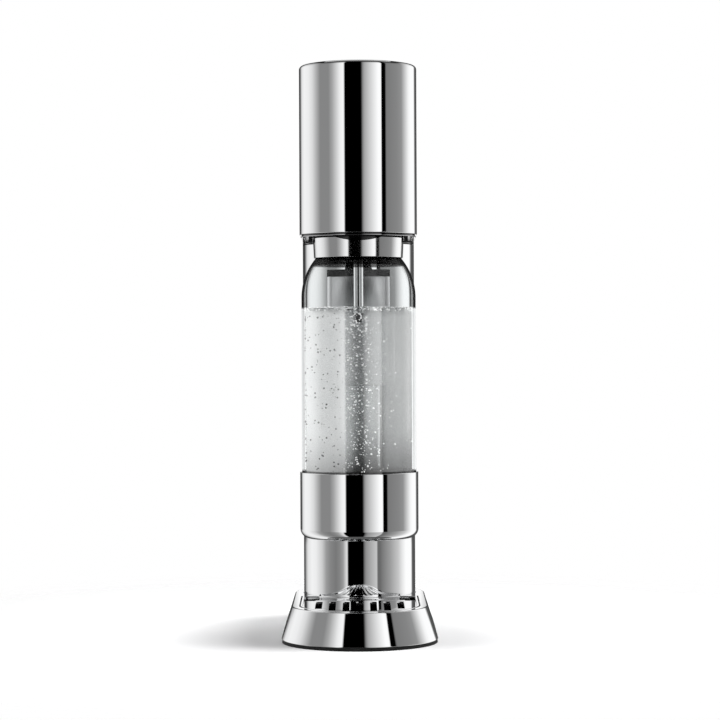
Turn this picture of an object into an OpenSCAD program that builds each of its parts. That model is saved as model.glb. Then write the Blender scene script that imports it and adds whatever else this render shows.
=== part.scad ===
// Sparkling water maker: a slim stand whose plan is a pill, with a swinging bottle holder under the
// head at the front, a drip tray in the base and a gas cylinder in the column at the rear.
// The front faces -Y, up is +Z, and the origin is the middle of the footprint on the table.

/* [Stand] */
// Radius of the column and of the head's round ends
body_r = 44; // [43:0.5:52]
// Sheet thickness of the polished shells
shell_t = 1.5; // [1:0.1:2.2]
// Clear space between the bottle's cup and the column
bay_gap = 9.75; // [6:0.25:25]
// Clear height between the base and the bottle's cup
bay_h = 51; // [48:1:90]
// Height of the head
head_h = 125.4; // [122:0.2:150]
// Radius of the head's top edge
head_edge = 2.6; // [0.5:0.1:6]
// Seam between neighbouring shells
seam = 0.4; // [0.3:0.05:0.8]

/* [Base] */
// Height of the base
base_h = 27.2; // [24:0.2:40]
// Height of the rubber foot ring
foot_h = 2.2; // [1.5:0.1:4]
// Width of the foot ring
foot_w = 6.3; // [4:0.1:8]
// Distance of the foot ring from the skirt's lower edge
foot_inset = 0.6; // [0.4:0.1:2]
// Width of the base's rim outside the column
rim_w = 6.7; // [6:0.1:12]
// How far the skirt flares out towards the table
flare = 8.1; // [4:0.1:14]
// Radius of the skirt's upper edge
rim_edge = 1; // [0.4:0.1:1.4]
// Thickness of the bottom plate
plate_t = 3; // [2.6:0.1:4]

/* [Drip tray] */
// Gap around the tray
tray_gap = 0.6; // [0.4:0.05:1]
// Thickness of the grille sheet
grille_t = 2.6; // [1.5:0.1:3.5]
// Height of the grille's raised lip
lip_h = 1; // [0.5:0.1:2]
// Width of the grille's raised lip
lip_w = 2; // [1:0.1:4]
// Number of drain slots
slot_count = 7; // [3:2:9]
// Distance between drain slots
slot_pitch = 10.3; // [8:0.1:11]
// Width of a drain slot
slot_w = 5.2; // [3:0.1:6.5]
// Radius of the circle that the slots' front ends follow
slot_reach = 34.5; // [33:0.5:38]
// Distance from the bottle's axis to the slots' back ends
slot_back = 32; // [20:1:36]
// Wall of the tray
tray_wall = 1.6; // [1:0.1:2.5]

/* [Bottle] */
// Radius of the bottle
bottle_r = 42.8; // [40:0.2:48]
// Wall of the bottle
bottle_wall = 2.2; // [1.5:0.1:3]
// Height of the bottle with its cup, up to the mouth
bottle_h = 241; // [220:1:280]
// Radius of the shoulder's curve
shoulder_r = 46; // [45:0.5:50]
// Outer radius of the neck
neck_r = 18; // [17.2:0.1:18.6]
// Radius of the neck's support ring
neck_ring_r = 22.5; // [21.5:0.1:23]
// Height of the neck above the head's lower edge
neck_lift = 14; // [13:0.5:18]
// Height of the cup on the bottle's foot
cup_h = 49.4; // [30:0.2:80]
// Sheet thickness of the cup
cup_t = 1.2; // [0.8:0.1:2]
// Corner radius at the foot of the cup
cup_edge = 7; // [3:0.5:7.5]

/* [Bottle holder] */
// Height of the holder's polished collar
collar_h = 15.7; // [14.5:0.1:17]
// Wall of the collar at its lower edge
collar_t = 0.8; // [0.6:0.1:1.2]
// Gap between the collar and the head
collar_gap = 2.6; // [2:0.1:4]
// Depth of the shallow notch in the front of the collar's upper edge
notch_h = 2.9; // [1:0.1:4]
// Radius of the notch
notch_r = 51; // [30:1:80]
// Clear ring around the collar for its swing
swing_gap = 3.5; // [3:0.1:4]
// Height of the holder's swing axis above the head's lower edge
pivot_lift = 11.4; // [10.5:0.1:12]
// Radius of the swing pins
pivot_r = 3; // [2.5:0.1:3.5]
// Length of the nozzle below the mouth of the bottle
nozzle_len = 73; // [50:1:90]
// Radius of the nozzle
nozzle_r = 3.5; // [3:0.1:4.5]
// Length of the nozzle's narrow tip
tip_len = 7; // [5:1:14]

/* [Back rest] */
// Width of the rest panel behind the bottle
rest_w = 49; // [30:1:56]
// Height of the rest panel's window
rest_h = 90; // [50:1:110]
// Height of the shadow slot above the panel
rest_slot = 5.4; // [3:0.1:8]
// Distance from the head down to the window
rest_drop = 24.6; // [15:0.2:60]

/* [Button and valve] */
// Radius of the push button
button_r = 24; // [20:0.5:28]
// Travel of the push button
press = 8; // [5:0.5:8]
// Turns of the button's spring
spring_turns = 6; // [4:1:7]
// Wire radius of the button's spring
wire_r = 0.6; // [0.4:0.05:0.7]
// Thickness of the valve lever
lever_t = 6; // [4:0.5:6]
// Radius of the gas cylinder
gas_r = 30; // [27:0.5:31]
// Drop of the gas cylinder when its handle is lifted
gas_drop = 3.5; // [2:0.1:5]
// Length of the quick connect handle
handle_len = 31; // [29.5:0.1:32]

/* [Hidden] */
$fn = 96;

// Clearances: between bodies that move, for pins in bores, and the overshoot of a cut
gap = 0.35;
fit = 0.04;
cut = 1;
far = 300;

// Axes in plan
cup_r = bottle_r + cup_t + 0.25;
reach = body_r + cup_r + bay_gap;
front_y = -reach / 2;
rear_y = reach / 2;
inner_r = body_r - shell_t;

// Heights, from the table up
skirt_z = foot_h + 0.3;
core_z = foot_h + plate_t;
floor_t = 3;
well_z = core_z + floor_t;
rim_t = 1.6;
core_top = base_h - rim_t;
grille_top = base_h - 0.8;
grille_z = grille_top - grille_t;
tray_z = well_z + gap;
socket_z = base_h - 8;
cup_z = base_h + bay_h;
mouth_z = cup_z + bottle_h;
head_z = mouth_z - neck_lift + 0.6;
top_z = head_z + head_h;
pivot_z = head_z + pivot_lift;
collar_top = head_z - collar_gap;
collar_z = collar_top - collar_h;

// Base outlines
rim_r = body_r + rim_w;
skirt_r = rim_r + flare;
pocket_r = body_r + 1.3;
tray_r = pocket_r - tray_gap;
horn_y = rear_y - body_r + 13;
core_r = rim_r - 2.4;
well_r = gas_r + 4.2;
divider = 3;

// Screws
screw_r = 1.6;
screw_head_r = 3;
head_t = 1.6;
screw_grip = 8;
base_screw_x = 37;
base_screw_y = 10.5;

// Bottle profile: the shoulder's arc is tangent to the bottle's side
shoulder_z = collar_z - shoulder_r * 0.6435;
shoulder_x = bottle_r - shoulder_r;
function shoulder_at(z) = shoulder_x + sqrt(pow(shoulder_r, 2) - pow(z - shoulder_z, 2));
neck_wall = 2.5;
foot_edge = cup_edge + 1;
bottle_z = cup_z + 1.5;

// Holder
collar_in = shoulder_at(collar_z) + 0.5;
collar_taper = 0.7;
collar_r = collar_in + collar_t + collar_taper;
open_r = collar_r + swing_gap;
ring_bore = neck_ring_r + 1.4;
neck_bore = neck_r + 1.5;
core_low = collar_z + 3.2;
holder_top = pivot_z + 18;
seal_t = 2.7;
roof_z = mouth_z + gap + seal_t;
grip_h = 7;
ear_t = 5.3;
ear_half = 6;
ear_out = inner_r - 1.9;
ear_in = ear_out - ear_t;
boss_x = ear_in - 2.4;
boss_r = 7;
boss_depth = 5;
tip_h = 4.5;
tip_half = 4;
tip_in = collar_r + gap;
tip_t = swing_gap - 2 * gap;
holder_r = min(boss_x - 1.9, collar_in - 1.5);

// Head levels
deck_z = holder_top + 10;
deck_t = 3;
deck_top = deck_z + deck_t;
deck_r = inner_r - 0.9;
roof_t = 2;
cap_h = 5;
under_t = 2.6;
shell_drop = 0.9;
shell_z = head_z - shell_drop;
trim_seam = 1.3;
under_z = shell_z - trim_seam;
trim_h = 0.7;
trim_z = under_z - trim_h;
ring_z = trim_z - 1.1;
post_r = 3.5;

// Button train
button_top = top_z - 0.4;
guide_z = top_z - roof_t - press - 18;
guide_t = 4;
stem_r = 8;
cap_t = 3;
cap_wall = 2.5;
skirt_h = 7.6;
nose_r = 3;
groove_r = stem_r - 1.5;
clip_t = 1.2;
clip_z = guide_z - gap - clip_t;
lever_top = guide_z - 4;
lever_z = lever_top - lever_t;
lever_half = 5;
spring_r = stem_r + 3;
spring_z = guide_z + guide_t + gap;
spring_h = button_top - cap_t - gap - spring_z;

// Gas train
manifold_top = lever_z - 4;
manifold_h = 22;
manifold_z = manifold_top - manifold_h;
manifold_r = 17;
flange_t = 6;
flange_x = 29;
flange_half = 5;
fork_x = 8;
fork_t = 4;
fork_h = 8;
flange_y = rear_y - 12.5;
lug_y = rear_y + 18;
lug_half = 5;
pin_r = 2;
handle_z = manifold_z + 12;
arm_x = 22;
arm_half = 2.5;
hub_r = 6;
slot_half = arm_x + arm_half + cut;
arm_r = 3;
arm_t = 4.6;
arm_rest = -50;
pipe_r = 2;
pipe_bend = 8;
pipe_x = ear_out - ear_t / 2;
fitting_r = ear_t / 2 + 0.8;
pipe_z = manifold_z + 8;
pipe_y = rear_y - body_r + 3;
seal_r = 8;
valve_top = manifold_z - 0.3 - gap;
valve_h = 28.4;
valve_r = 10;
valve_neck = 10;
valve_ring = 4;
pin_depth = 5;
pin_room = 3;
gas_top = valve_top - valve_h;
seat_t = 8;
seat_wall = 12;
seat_ledge = 8;
gas_z = well_z + seat_t + gas_drop + gap;
gas_neck = 13;
gas_wall = 3.5;

// Plan outline of a pill of radius r, its round ends on the bottle's and the column's axes
module pill(r) {
  translate([0, front_y]) circle(r);
  translate([0, rear_y]) circle(r);
  translate([-r, front_y]) square([2 * r, reach]);
}

// A pill plate between two heights
module pill_plate(r, z0, z1) {
  translate([0, 0, z0]) linear_extrude(z1 - z0) pill(r);
}

// Carries a radius and height profile round the pill
module pill_sweep() {
  translate([0, rear_y, 0]) rotate_extrude(angle = 180) children();
  translate([0, front_y, 0]) rotate([0, 0, 180]) rotate_extrude(angle = 180) children();
  for (side = [0, 1]) mirror([side, 0, 0])
    translate([0, rear_y, 0]) rotate([90, 0, 0]) linear_extrude(reach) children();
}

// Plan outline of the tray's place: round at the front, hugging the column at the back
module tray_outline(r, back_y, clear) {
  difference() {
    union() {
      translate([0, front_y]) circle(r);
      translate([-r, front_y]) square([2 * r, back_y - front_y]);
    }
    translate([0, rear_y]) circle(body_r + clear);
  }
}

// Front half of a ring about the column's axis
module front_half(r_out, r_in, gap_y = 0) {
  translate([0, rear_y]) difference() {
    circle(r_out);
    circle(r_in);
    translate([-far, -gap_y]) square([2 * far, far]);
  }
}

// Rounds the outer corner of a profile: a quarter disc set in from the corner
module corner(r, z, edge) {
  translate([r - edge, z - edge]) circle(edge);
}

// A cylinder along X, centred on x = 0 of the part
module x_rod(y, z, half, r) {
  translate([-half, y, z]) rotate([0, 90, 0]) cylinder(h = 2 * half, r = r);
}

// A cylinder along X between two positions on both sides of the part
module x_pair(y, z, x0, x1, r) {
  for (side = [-1, 1]) translate([side > 0 ? x0 : -x1, y, z]) rotate([0, 90, 0]) cylinder(h = x1 - x0, r = r);
}

// A straight length of rod between two points
module rod(p, q, r) {
  d = q - p;
  translate(p) rotate([0, acos(d.z / norm(d)), atan2(d.y, d.x)]) cylinder(h = norm(d), r = r);
}

// A bent tube through points whose legs meet at right angles
module bent_tube(points, r, bend) {
  last = len(points) - 1;
  dirs = [for (i = [0:last - 1]) (points[i + 1] - points[i]) / norm(points[i + 1] - points[i])];
  for (i = [0:last - 1]) {
    start = points[i] + (i > 0 ? dirs[i] * bend : [0, 0, 0]);
    stop = points[i + 1] - (i < last - 1 ? dirs[i] * bend : [0, 0, 0]);
    rod(start, stop, r);
  }
  for (i = [1:last - 1]) {
    a = dirs[i - 1];
    b = dirs[i];
    c = cross(a, b);
    o = points[i] + (b - a) * bend;
    multmatrix([[-b.x, a.x, c.x, o.x], [-b.y, a.y, c.y, o.y], [-b.z, a.z, c.z, o.z], [0, 0, 0, 1]])
      rotate_extrude(angle = 90) translate([bend, 0]) circle(r);
  }
}

// Base

// Slanted side of the skirt: its length and its outward normal
slant = norm([flare, base_h - skirt_z]);
slant_n = [base_h - skirt_z, flare] / slant;
function skirt_at(z) = skirt_r - (z - skirt_z) * flare / (base_h - skirt_z);

module skirt_profile(inset, z0, z1, edge) {
  low = skirt_at(z0) - inset / slant_n.x;
  mid_z = z1 - edge;
  mid = low - (edge + slant_n.y * (mid_z - z0)) / slant_n.x;
  tangent = [mid, mid_z] + edge * slant_n;
  polygon([[0, z0], [low, z0], tangent, [mid, mid_z], [mid, z1], [0, z1]]);
  translate([mid, mid_z]) circle(edge);
}

module base_skirt() {
  color("gainsboro") difference() {
    pill_sweep() skirt_profile(0, skirt_z, base_h, rim_edge);
    pill_sweep() skirt_profile(shell_t, skirt_z - cut, core_top, rim_edge / 2);
    translate([0, 0, core_top - cut]) linear_extrude(rim_t + 2 * cut) {
      tray_outline(pocket_r, horn_y, 0);
      front_half(body_r + gap, 0, -seam);
      translate([0, rear_y]) circle(body_r - 3);
    }
  }
}

module base_core() {
  color("black") difference() {
    pill_plate(core_r, core_z, core_top);
    translate([0, 0, well_z]) linear_extrude(far) tray_outline(pocket_r, horn_y, divider);
    translate([0, 0, grille_z - gap]) linear_extrude(far) tray_outline(pocket_r, horn_y, 0);
    translate([0, 0, socket_z]) linear_extrude(far) front_half(body_r + gap, 0, -seam);
    translate([0, rear_y, well_z]) cylinder(h = far, r = well_r);
    at_base_screws() cylinder(h = plate_t + floor_t - 0.8, r = screw_r + fit);
  }
}

// Places of the base's screws, in plan
module at_base_screws() {
  for (x = [-1, 1], y = [front_y - base_screw_y, 0, rear_y + 2 * base_screw_y])
    translate([x * base_screw_x, y, foot_h]) children();
}

module base_plate() {
  color("dimgray") difference() {
    pill_plate(skirt_at(core_z) - 2.4, foot_h, core_z);
    at_base_screws() translate([0, 0, -cut]) {
      cylinder(h = head_t + 2 * gap + cut, r = screw_head_r + gap);
      cylinder(h = far, r = screw_r + fit);
    }
  }
}

module base_screws() {
  color("silver") at_base_screws() {
    translate([0, 0, 2 * gap]) cylinder(h = head_t, r = screw_head_r);
    translate([0, 0, 2 * gap]) cylinder(h = plate_t + floor_t - 0.8 - 3 * gap, r = screw_r);
  }
}

module foot_ring() {
  color("black") difference() {
    pill_plate(skirt_r - foot_inset, 0, foot_h);
    pill_plate(skirt_r - foot_inset - foot_w, -cut, foot_h + cut);
  }
}

// Drip tray

module drip_tray() {
  color("black") difference() {
    translate([0, 0, tray_z]) linear_extrude(grille_z - tray_z)
      tray_outline(tray_r, horn_y - 1.4, divider + gap);
    translate([0, 0, tray_z + tray_wall]) linear_extrude(far)
      tray_outline(tray_r - tray_wall, horn_y - 1.4 - tray_wall, divider + gap + tray_wall);
  }
}

module drip_grille() {
  color("gainsboro") difference() {
    union() {
      translate([0, 0, grille_z]) linear_extrude(grille_t) tray_outline(tray_r, horn_y - 1.4, tray_gap);
      translate([0, 0, grille_top - 0.001]) linear_extrude(lip_h + 0.001) difference() {
        tray_outline(tray_r, horn_y - 1.4, tray_gap);
        tray_outline(tray_r - lip_w, horn_y - 1.4 - lip_w, tray_gap + lip_w);
      }
    }
    drain_slots();
  }
}

// Parallel slots: square at the back, stepped along a circle at the front
module drain_slots() {
  half = (slot_count - 1) / 2;
  for (i = [-half:half]) {
    x = i * slot_pitch;
    ahead = sqrt(max(1, pow(slot_reach, 2) - x * x));
    translate([x - slot_w / 2, front_y - ahead, grille_z - cut])
      cube([slot_w, ahead + slot_back, grille_t + 2 * cut]);
  }
}

// Column

rest_top = head_z - rest_drop;

module column_shell() {
  color("gainsboro") difference() {
    translate([0, 0, socket_z]) linear_extrude(ring_z - seam - socket_z) front_half(body_r, inner_r, seam / 2);
    translate([-rest_w / 2, rear_y - body_r - cut, rest_top - rest_h]) cube([rest_w, body_r * 0.75, rest_h]);
  }
}

module back_rest() {
  color("gray") intersection() {
    translate([0, 0, rest_top - rest_h + gap]) linear_extrude(rest_h - rest_slot - gap)
      front_half(body_r - 0.5, inner_r, 0);
    translate([-rest_w / 2 + gap, rear_y - body_r - cut, 0]) cube([rest_w - 2 * gap, body_r * 0.75, top_z]);
  }
}

// Half tube inside the column, with ribs that cradle the gas cylinder
module inner_frame() {
  outer = inner_r - 0.05;
  color("black") {
    translate([0, 0, socket_z]) linear_extrude(deck_z - socket_z) front_half(outer, outer - 2.5, 0);
    for (level = [0.3, 0.55, 0.8]) translate([0, 0, socket_z + level * (gas_top - 40 - socket_z)])
      linear_extrude(3) front_half(outer - 2, gas_r + gap, 0);
  }
}

module rear_cover() {
  cover_t = 2;
  low = base_h + gap;
  high = top_z - cap_h - gap;
  color("gainsboro") translate([0, rear_y, 0]) {
    translate([0, 0, low]) linear_extrude(high - low) difference() {
      circle(body_r);
      circle(body_r - cover_t);
      translate([-far, -far + seam / 2]) square([2 * far, far]);
    }
    translate([0, 0, high - cover_t]) linear_extrude(cover_t) difference() {
      circle(body_r - cover_t / 2);
      translate([-far, -far + seam / 2]) square([2 * far, far]);
    }
  }
}

// Gas train

module cylinder_seat() {
  color("dimgray") translate([0, rear_y, well_z]) difference() {
    cylinder(h = seat_t + seat_wall, r = well_r - 0.05);
    translate([0, 0, seat_t]) cylinder(h = far, r = gas_r + 0.8);
    translate([0, 0, -cut]) cylinder(h = far, r = gas_r - seat_ledge);
  }
}

// Section of the gas cylinder, drawn in by a wall: round foot, straight side and domed shoulder
module gas_section(inset) {
  side = gas_r - inset;
  low = gas_z + inset;
  dome = gas_r - gas_neck;
  dome_z = gas_top - dome - 6;
  cup_section(side, low, 4, dome_z - low);
  intersection() {
    translate([gas_neck, dome_z]) circle(dome - inset);
    translate([0, dome_z - cut]) square([gas_r, dome + cut]);
  }
  translate([0, dome_z - cut]) square([gas_neck, dome - inset + cut]);
}

module co2_cylinder() {
  color("lightgray") translate([0, rear_y, 0]) rotate_extrude() difference() {
    union() {
      gas_section(0);
      translate([0, gas_top - 20]) square([gas_neck, 20]);
    }
    gas_section(gas_wall);
    translate([-cut, gas_top - 20]) square([gas_neck - 5 + cut, far]);
    translate([-far, 0]) square([far, far * 2]);
  }
}

module cylinder_valve() {
  color("goldenrod") translate([0, rear_y, gas_top]) difference() {
    union() {
      cylinder(h = valve_neck, r = valve_r + 1);
      translate([0, 0, valve_neck]) cylinder(h = valve_ring, r = valve_r + valve_ring);
      translate([0, 0, valve_neck]) cylinder(h = valve_h - valve_neck, r = valve_r);
    }
    translate([0, 0, valve_h - pin_depth - pin_room]) cylinder(h = far, r = pin_r + 0.4);
  }
}

module valve_pin() {
  low = valve_top - pin_depth;
  color("silver") translate([0, rear_y, low]) cylinder(h = lever_z - gap - low, r = pin_r);
}

module gas_manifold() {
  color("dimgray") difference() {
    union() {
      translate([0, rear_y, manifold_z]) cylinder(h = manifold_h, r = manifold_r);
      translate([-flange_x - post_r, flange_y - flange_half, manifold_top - flange_t])
        cube([2 * (flange_x + post_r), 2 * flange_half, flange_t]);
      translate([-fork_x - fork_t, rear_y, manifold_top - fork_h])
        cube([2 * (fork_x + fork_t), lug_y + lug_half - rear_y, fork_h]);
      for (side = [-1, 1]) translate([side * fork_x - fork_t / 2, lug_y - lug_half, manifold_top - cut])
        cube([fork_t, 2 * lug_half, lever_top - manifold_top + cut + 2]);
    }
    translate([0, rear_y, manifold_z - cut]) cylinder(h = far, r = pin_r + fit);
    translate([0, rear_y, manifold_z - cut]) cylinder(h = 2 + cut, r = seal_r);
    translate([0, rear_y - manifold_r + 3, pipe_z]) rotate([90, 0, 0]) cylinder(h = far, r = pipe_r + fit);
    x_pair(rear_y, handle_z, manifold_r - 5, far, pin_r + 0.5 + fit);
    x_rod(lug_y, lever_z + lever_t / 2, far, pin_r + fit);
    for (side = [-1, 1]) translate([side * flange_x, flange_y, 0]) cylinder(h = top_z, r = screw_r + fit);
    relief_port(far, 3 + fit);
  }
}

// The relief valve's place on the manifold, turned towards the front
module relief_port(h, r) {
  translate([0, rear_y, manifold_z + 6]) rotate([90, 0, -40]) translate([0, 0, manifold_r - 6]) cylinder(h = h, r = r);
}

module relief_valve() {
  color("goldenrod") {
    relief_port(10, 3);
    intersection() {
      relief_port(13, 4.5);
      translate([0, rear_y, 0]) difference() {
        cylinder(h = top_z, r = 2 * manifold_r);
        cylinder(h = top_z, r = manifold_r + 0.6);
      }
    }
  }
}

module manifold_seal() {
  color("black") translate([0, rear_y, manifold_z - 0.3]) difference() {
    cylinder(h = 2.3, r = seal_r - 0.05);
    translate([0, 0, -cut]) cylinder(h = far, r = pin_r + 1.5);
  }
}

module manifold_screws() {
  color("silver") for (side = [-1, 1]) translate([side * flange_x, flange_y, manifold_top]) {
    cylinder(h = head_t, r = screw_head_r);
    translate([0, 0, -flange_t - screw_grip]) cylinder(h = flange_t + screw_grip + cut, r = screw_r);
  }
}

module gas_pipe() {
  color("silver") bent_tube([[pipe_x, front_y + ear_half + 2, pivot_z], [pipe_x, pipe_y, pivot_z],
    [pipe_x, pipe_y, pipe_z], [0, pipe_y, pipe_z], [0, rear_y - manifold_r + 2.6, pipe_z]], pipe_r, pipe_bend);
}

module pipe_fitting() {
  color("goldenrod") translate([pipe_x, front_y + ear_half, pivot_z]) rotate([-90, 0, 0]) difference() {
    union() {
      cylinder(h = 9, r = fitting_r);
      translate([0, 0, 9]) cylinder(h = 4, r = pipe_r + 1);
    }
    translate([0, 0, 2]) cylinder(h = far, r = pipe_r + fit);
  }
}

// A bail of two arms and a cross bar, hanging down at rest
module quick_connect_handle() {
  tip_y = rear_y + handle_len * cos(arm_rest);
  tip_z = handle_z + handle_len * sin(arm_rest);
  color("royalblue") difference() {
    union() {
      x_pair(rear_y, handle_z, arm_x - arm_half, arm_x + arm_half, hub_r);
      for (side = [-1, 1]) translate([side * arm_x, rear_y, handle_z]) rotate([arm_rest, 0, 0])
        translate([-arm_half, 0, -arm_t / 2]) cube([2 * arm_half, handle_len, arm_t]);
      x_rod(tip_y, tip_z, arm_x + arm_half, arm_r);
    }
    x_rod(rear_y, handle_z, far, pin_r + 0.5 + fit);
  }
}

module handle_pins() {
  color("silver") x_pair(rear_y, handle_z, manifold_r - 5 + fit, arm_x + arm_half + 1.5, pin_r + 0.5);
}

module valve_lever() {
  color("silver") difference() {
    translate([0, 0, lever_z]) linear_extrude(lever_t) {
      translate([0, front_y]) circle(lever_half + 1);
      translate([-lever_half, front_y]) square([2 * lever_half, lug_y - front_y]);
      translate([-lever_half, lug_y]) square([2 * lever_half, lever_half]);
    }
    x_rod(lug_y, lever_z + lever_t / 2, far, pin_r + fit);
    translate([-lever_half / 2, front_y + 20, lever_z - cut])
      cube([lever_half, reach - 45, lever_t / 2 + cut]);
  }
}

module lever_pivot_pin() {
  color("silver") x_rod(lug_y, lever_z + lever_t / 2, fork_x + fork_t, pin_r);
}

// Button

module carbonation_button() {
  low = button_top - press - skirt_h;
  color("silver") translate([0, front_y, 0]) rotate_extrude() difference() {
    union() {
      translate([0, low]) square([button_r, button_top - low - 1]);
      translate([0, button_top - 2]) square([button_r - 1, 2]);
      corner(button_r, button_top, 1);
    }
    translate([-cut, low - cut]) square([button_r - cap_wall + cut, button_top - cap_t - low + cut]);
    translate([-far, 0]) square([far, 2 * far]);
  }
}

// Stem with a narrow nose on the lever and a groove for its clip
module button_stem() {
  color("dimgray") translate([0, front_y, 0]) rotate_extrude() {
    translate([0, lever_top + gap]) square([nose_r, clip_z - lever_top]);
    translate([0, clip_z - 1]) square([stem_r - fit, 1]);
    translate([0, clip_z - 1]) square([groove_r, clip_t + 2]);
    translate([0, clip_z + clip_t + fit]) square([stem_r - fit, button_top - cap_t - clip_z - clip_t - fit]);
  }
}

// Open clip in the stem's groove, under the guide
module stem_clip() {
  color("silver") translate([0, front_y, clip_z]) difference() {
    cylinder(h = clip_t, r = stem_r + 2.5);
    translate([0, 0, -cut]) cylinder(h = far, r = groove_r + fit);
    translate([-groove_r + 1.5, 0, -cut]) cube([2 * groove_r - 3, far, far]);
  }
}

// Coil spring: one tube along a helix, with flat closed ends
spring_rings = 8 * spring_turns;
spring_sides = 6;
function helix(t) = [spring_r * cos(360 * spring_turns * t), spring_r * sin(360 * spring_turns * t),
  wire_r + t * (spring_h - 2 * wire_r)];
function ring_points(t) = let (a = 360 * spring_turns * t, out = [cos(a), sin(a), 0], up = [0, 0, 1])
  [for (k = [0:spring_sides - 1]) helix(t) + wire_r * (out * cos(360 * k / spring_sides)
    + up * sin(360 * k / spring_sides))];

module button_spring() {
  last = spring_rings;
  points = [for (i = [0:last]) each ring_points(i / last)];
  sides = [for (i = [0:last - 1], k = [0:spring_sides - 1], half = [0, 1])
    let (a = i * spring_sides + k, b = i * spring_sides + (k + 1) % spring_sides)
      half == 0 ? [a, a + spring_sides, b] : [b, a + spring_sides, b + spring_sides]];
  ends = [for (k = [1:spring_sides - 2], half = [0, 1]) let (e = last * spring_sides)
    half == 0 ? [0, k, k + 1] : [e, e + k + 1, e + k]];
  color("silver") translate([0, front_y, spring_z]) polyhedron(points, concat(sides, ends));
}
echo(spring_least_gap = (spring_h - 2 * wire_r) / spring_turns - 2 * wire_r);

// Head

module head_shell() {
  color("gainsboro") difference() {
    pill_sweep() {
      translate([0, shell_z]) square([body_r, top_z - shell_z - head_edge]);
      translate([0, top_z - 2 * head_edge]) square([body_r - head_edge, 2 * head_edge]);
      intersection() {
        corner(body_r, top_z, head_edge);
        translate([0, top_z - head_edge]) square([body_r, head_edge]);
      }
    }
    pill_plate(inner_r, shell_z - cut, top_z - roof_t);
    translate([-far, rear_y - seam / 2, shell_z - cut]) cube([2 * far, far, top_z - shell_z - cap_h + cut]);
    translate([0, front_y, top_z - far]) cylinder(h = 2 * far, r = button_r + gap);
  }
}

// Ring under the head's edge, which also runs round the front of the column
module head_trim() {
  outer = body_r - 0.8;
  edge = 0.2;
  color("gainsboro") {
    difference() {
      pill_sweep() polygon([[outer - 2.2, trim_z], [outer - edge, trim_z], [outer, trim_z + edge],
        [outer, under_z], [outer - 2.2, under_z]]);
      translate([0, rear_y, 0]) cylinder(h = top_z, r = body_r - cut / 2);
      translate([-far, rear_y - seam / 2, 0]) cube([2 * far, far, top_z]);
    }
    translate([0, 0, ring_z]) linear_extrude(shell_z - seam - ring_z) front_half(body_r, inner_r, seam / 2);
  }
}

module head_underside() {
  color("black") difference() {
    pill_plate(inner_r - 0.2, under_z, under_z + under_t);
    translate([0, front_y, 0]) cylinder(h = top_z, r = open_r);
    translate([0, rear_y, 0]) cylinder(h = top_z, r = body_r + gap);
  }
}

module head_chassis() {
  color("black") difference() {
    union() {
      pill_plate(deck_r, deck_z, deck_top);
      for (side = [-1, 1]) {
        translate([side > 0 ? ear_in : -ear_out, front_y - ear_half, under_z + under_t])
          cube([ear_out - ear_in, 2 * ear_half, deck_z - under_z - under_t + cut]);
        translate([side > 0 ? tip_in : -tip_in - tip_t, front_y - tip_half, under_z - tip_h])
          cube([tip_t, 2 * tip_half, tip_h + under_t + cut]);
        translate([side * 17, front_y, deck_top - cut]) cylinder(h = guide_z - deck_top + 2 * cut, r = 4);
        translate([side * flange_x, flange_y, deck_top - cut])
          cylinder(h = manifold_top - flange_t - deck_top + cut, r = 4);
        for (y = [pipe_y - 15, flange_y - 12])
          translate([side * (inner_r - 7), y, deck_top - cut])
            cylinder(h = top_z - roof_t - deck_top + cut, r = post_r);
      }
      translate([0, front_y, guide_z]) cylinder(h = guide_t, r = 22);
    }
    translate([0, front_y, guide_z - cut]) cylinder(h = far, r = stem_r + fit);
    x_pair(front_y, pivot_z, ear_in - cut, ear_out + cut, pivot_r + fit);
    translate([0, rear_y, deck_z - cut]) linear_extrude(deck_t + 2 * cut) {
      circle(manifold_r);
      translate([-slot_half, -hub_r - cut]) square([2 * slot_half, far]);
    }
    translate([pipe_x, pipe_y, deck_z - cut]) cylinder(h = deck_t + 2 * cut, r = pipe_r + 0.4);
    for (side = [-1, 1]) translate([side * flange_x, flange_y, manifold_top - flange_t - screw_grip - cut])
      cylinder(h = far, r = screw_r + fit);
  }
}

// Bottle holder

module trunnion_pins() {
  color("silver") x_pair(front_y, pivot_z, boss_x - boss_depth, ear_out, pivot_r);
}

module holder_core() {
  color("black") difference() {
    union() {
      translate([0, front_y, 0]) rotate_extrude() difference() {
        union() {
          translate([0, core_low]) square([collar_in - 0.2, collar_top - core_low]);
          translate([0, collar_top - cut]) square([holder_r, holder_top - collar_top + cut]);
        }
        intersection() {
          translate([shoulder_x, shoulder_z]) circle(shoulder_r + 1.2);
          translate([0, collar_z - cut]) square([far, far]);
        }
        translate([-cut, collar_z]) square([ring_bore + cut, head_z - collar_z]);
        translate([-cut, collar_z]) square([neck_bore + cut, roof_z - collar_z]);
        translate([-cut, collar_z]) square([nozzle_r + fit + cut, far]);
      }
      x_pair(front_y, pivot_z, holder_r - 4, boss_x, boss_r);
    }
    x_pair(front_y, pivot_z, boss_x - boss_depth - gap, far, pivot_r + fit);
  }
}

module bottle_collar() {
  color("gainsboro") difference() {
    translate([0, front_y, 0]) rotate_extrude() polygon([[collar_in, collar_z], [collar_in + collar_t, collar_z],
      [collar_r, collar_top], [collar_in, collar_top]]);
    translate([0, front_y, collar_top - notch_h + notch_r]) rotate([90, 0, 0]) cylinder(h = far, r = notch_r);
  }
}

module neck_seal() {
  color("dimgray") translate([0, front_y, mouth_z + gap]) difference() {
    cylinder(h = seal_t, r = neck_bore - 0.1);
    translate([0, 0, -cut]) cylinder(h = far, r = nozzle_r + 4);
  }
}

module neck_grip() {
  color("silver") translate([0, front_y, head_z - grip_h]) difference() {
    cylinder(h = grip_h, r = ring_bore - 0.05);
    translate([0, 0, -cut]) cylinder(h = far, r = ring_bore - 1);
  }
}

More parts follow.
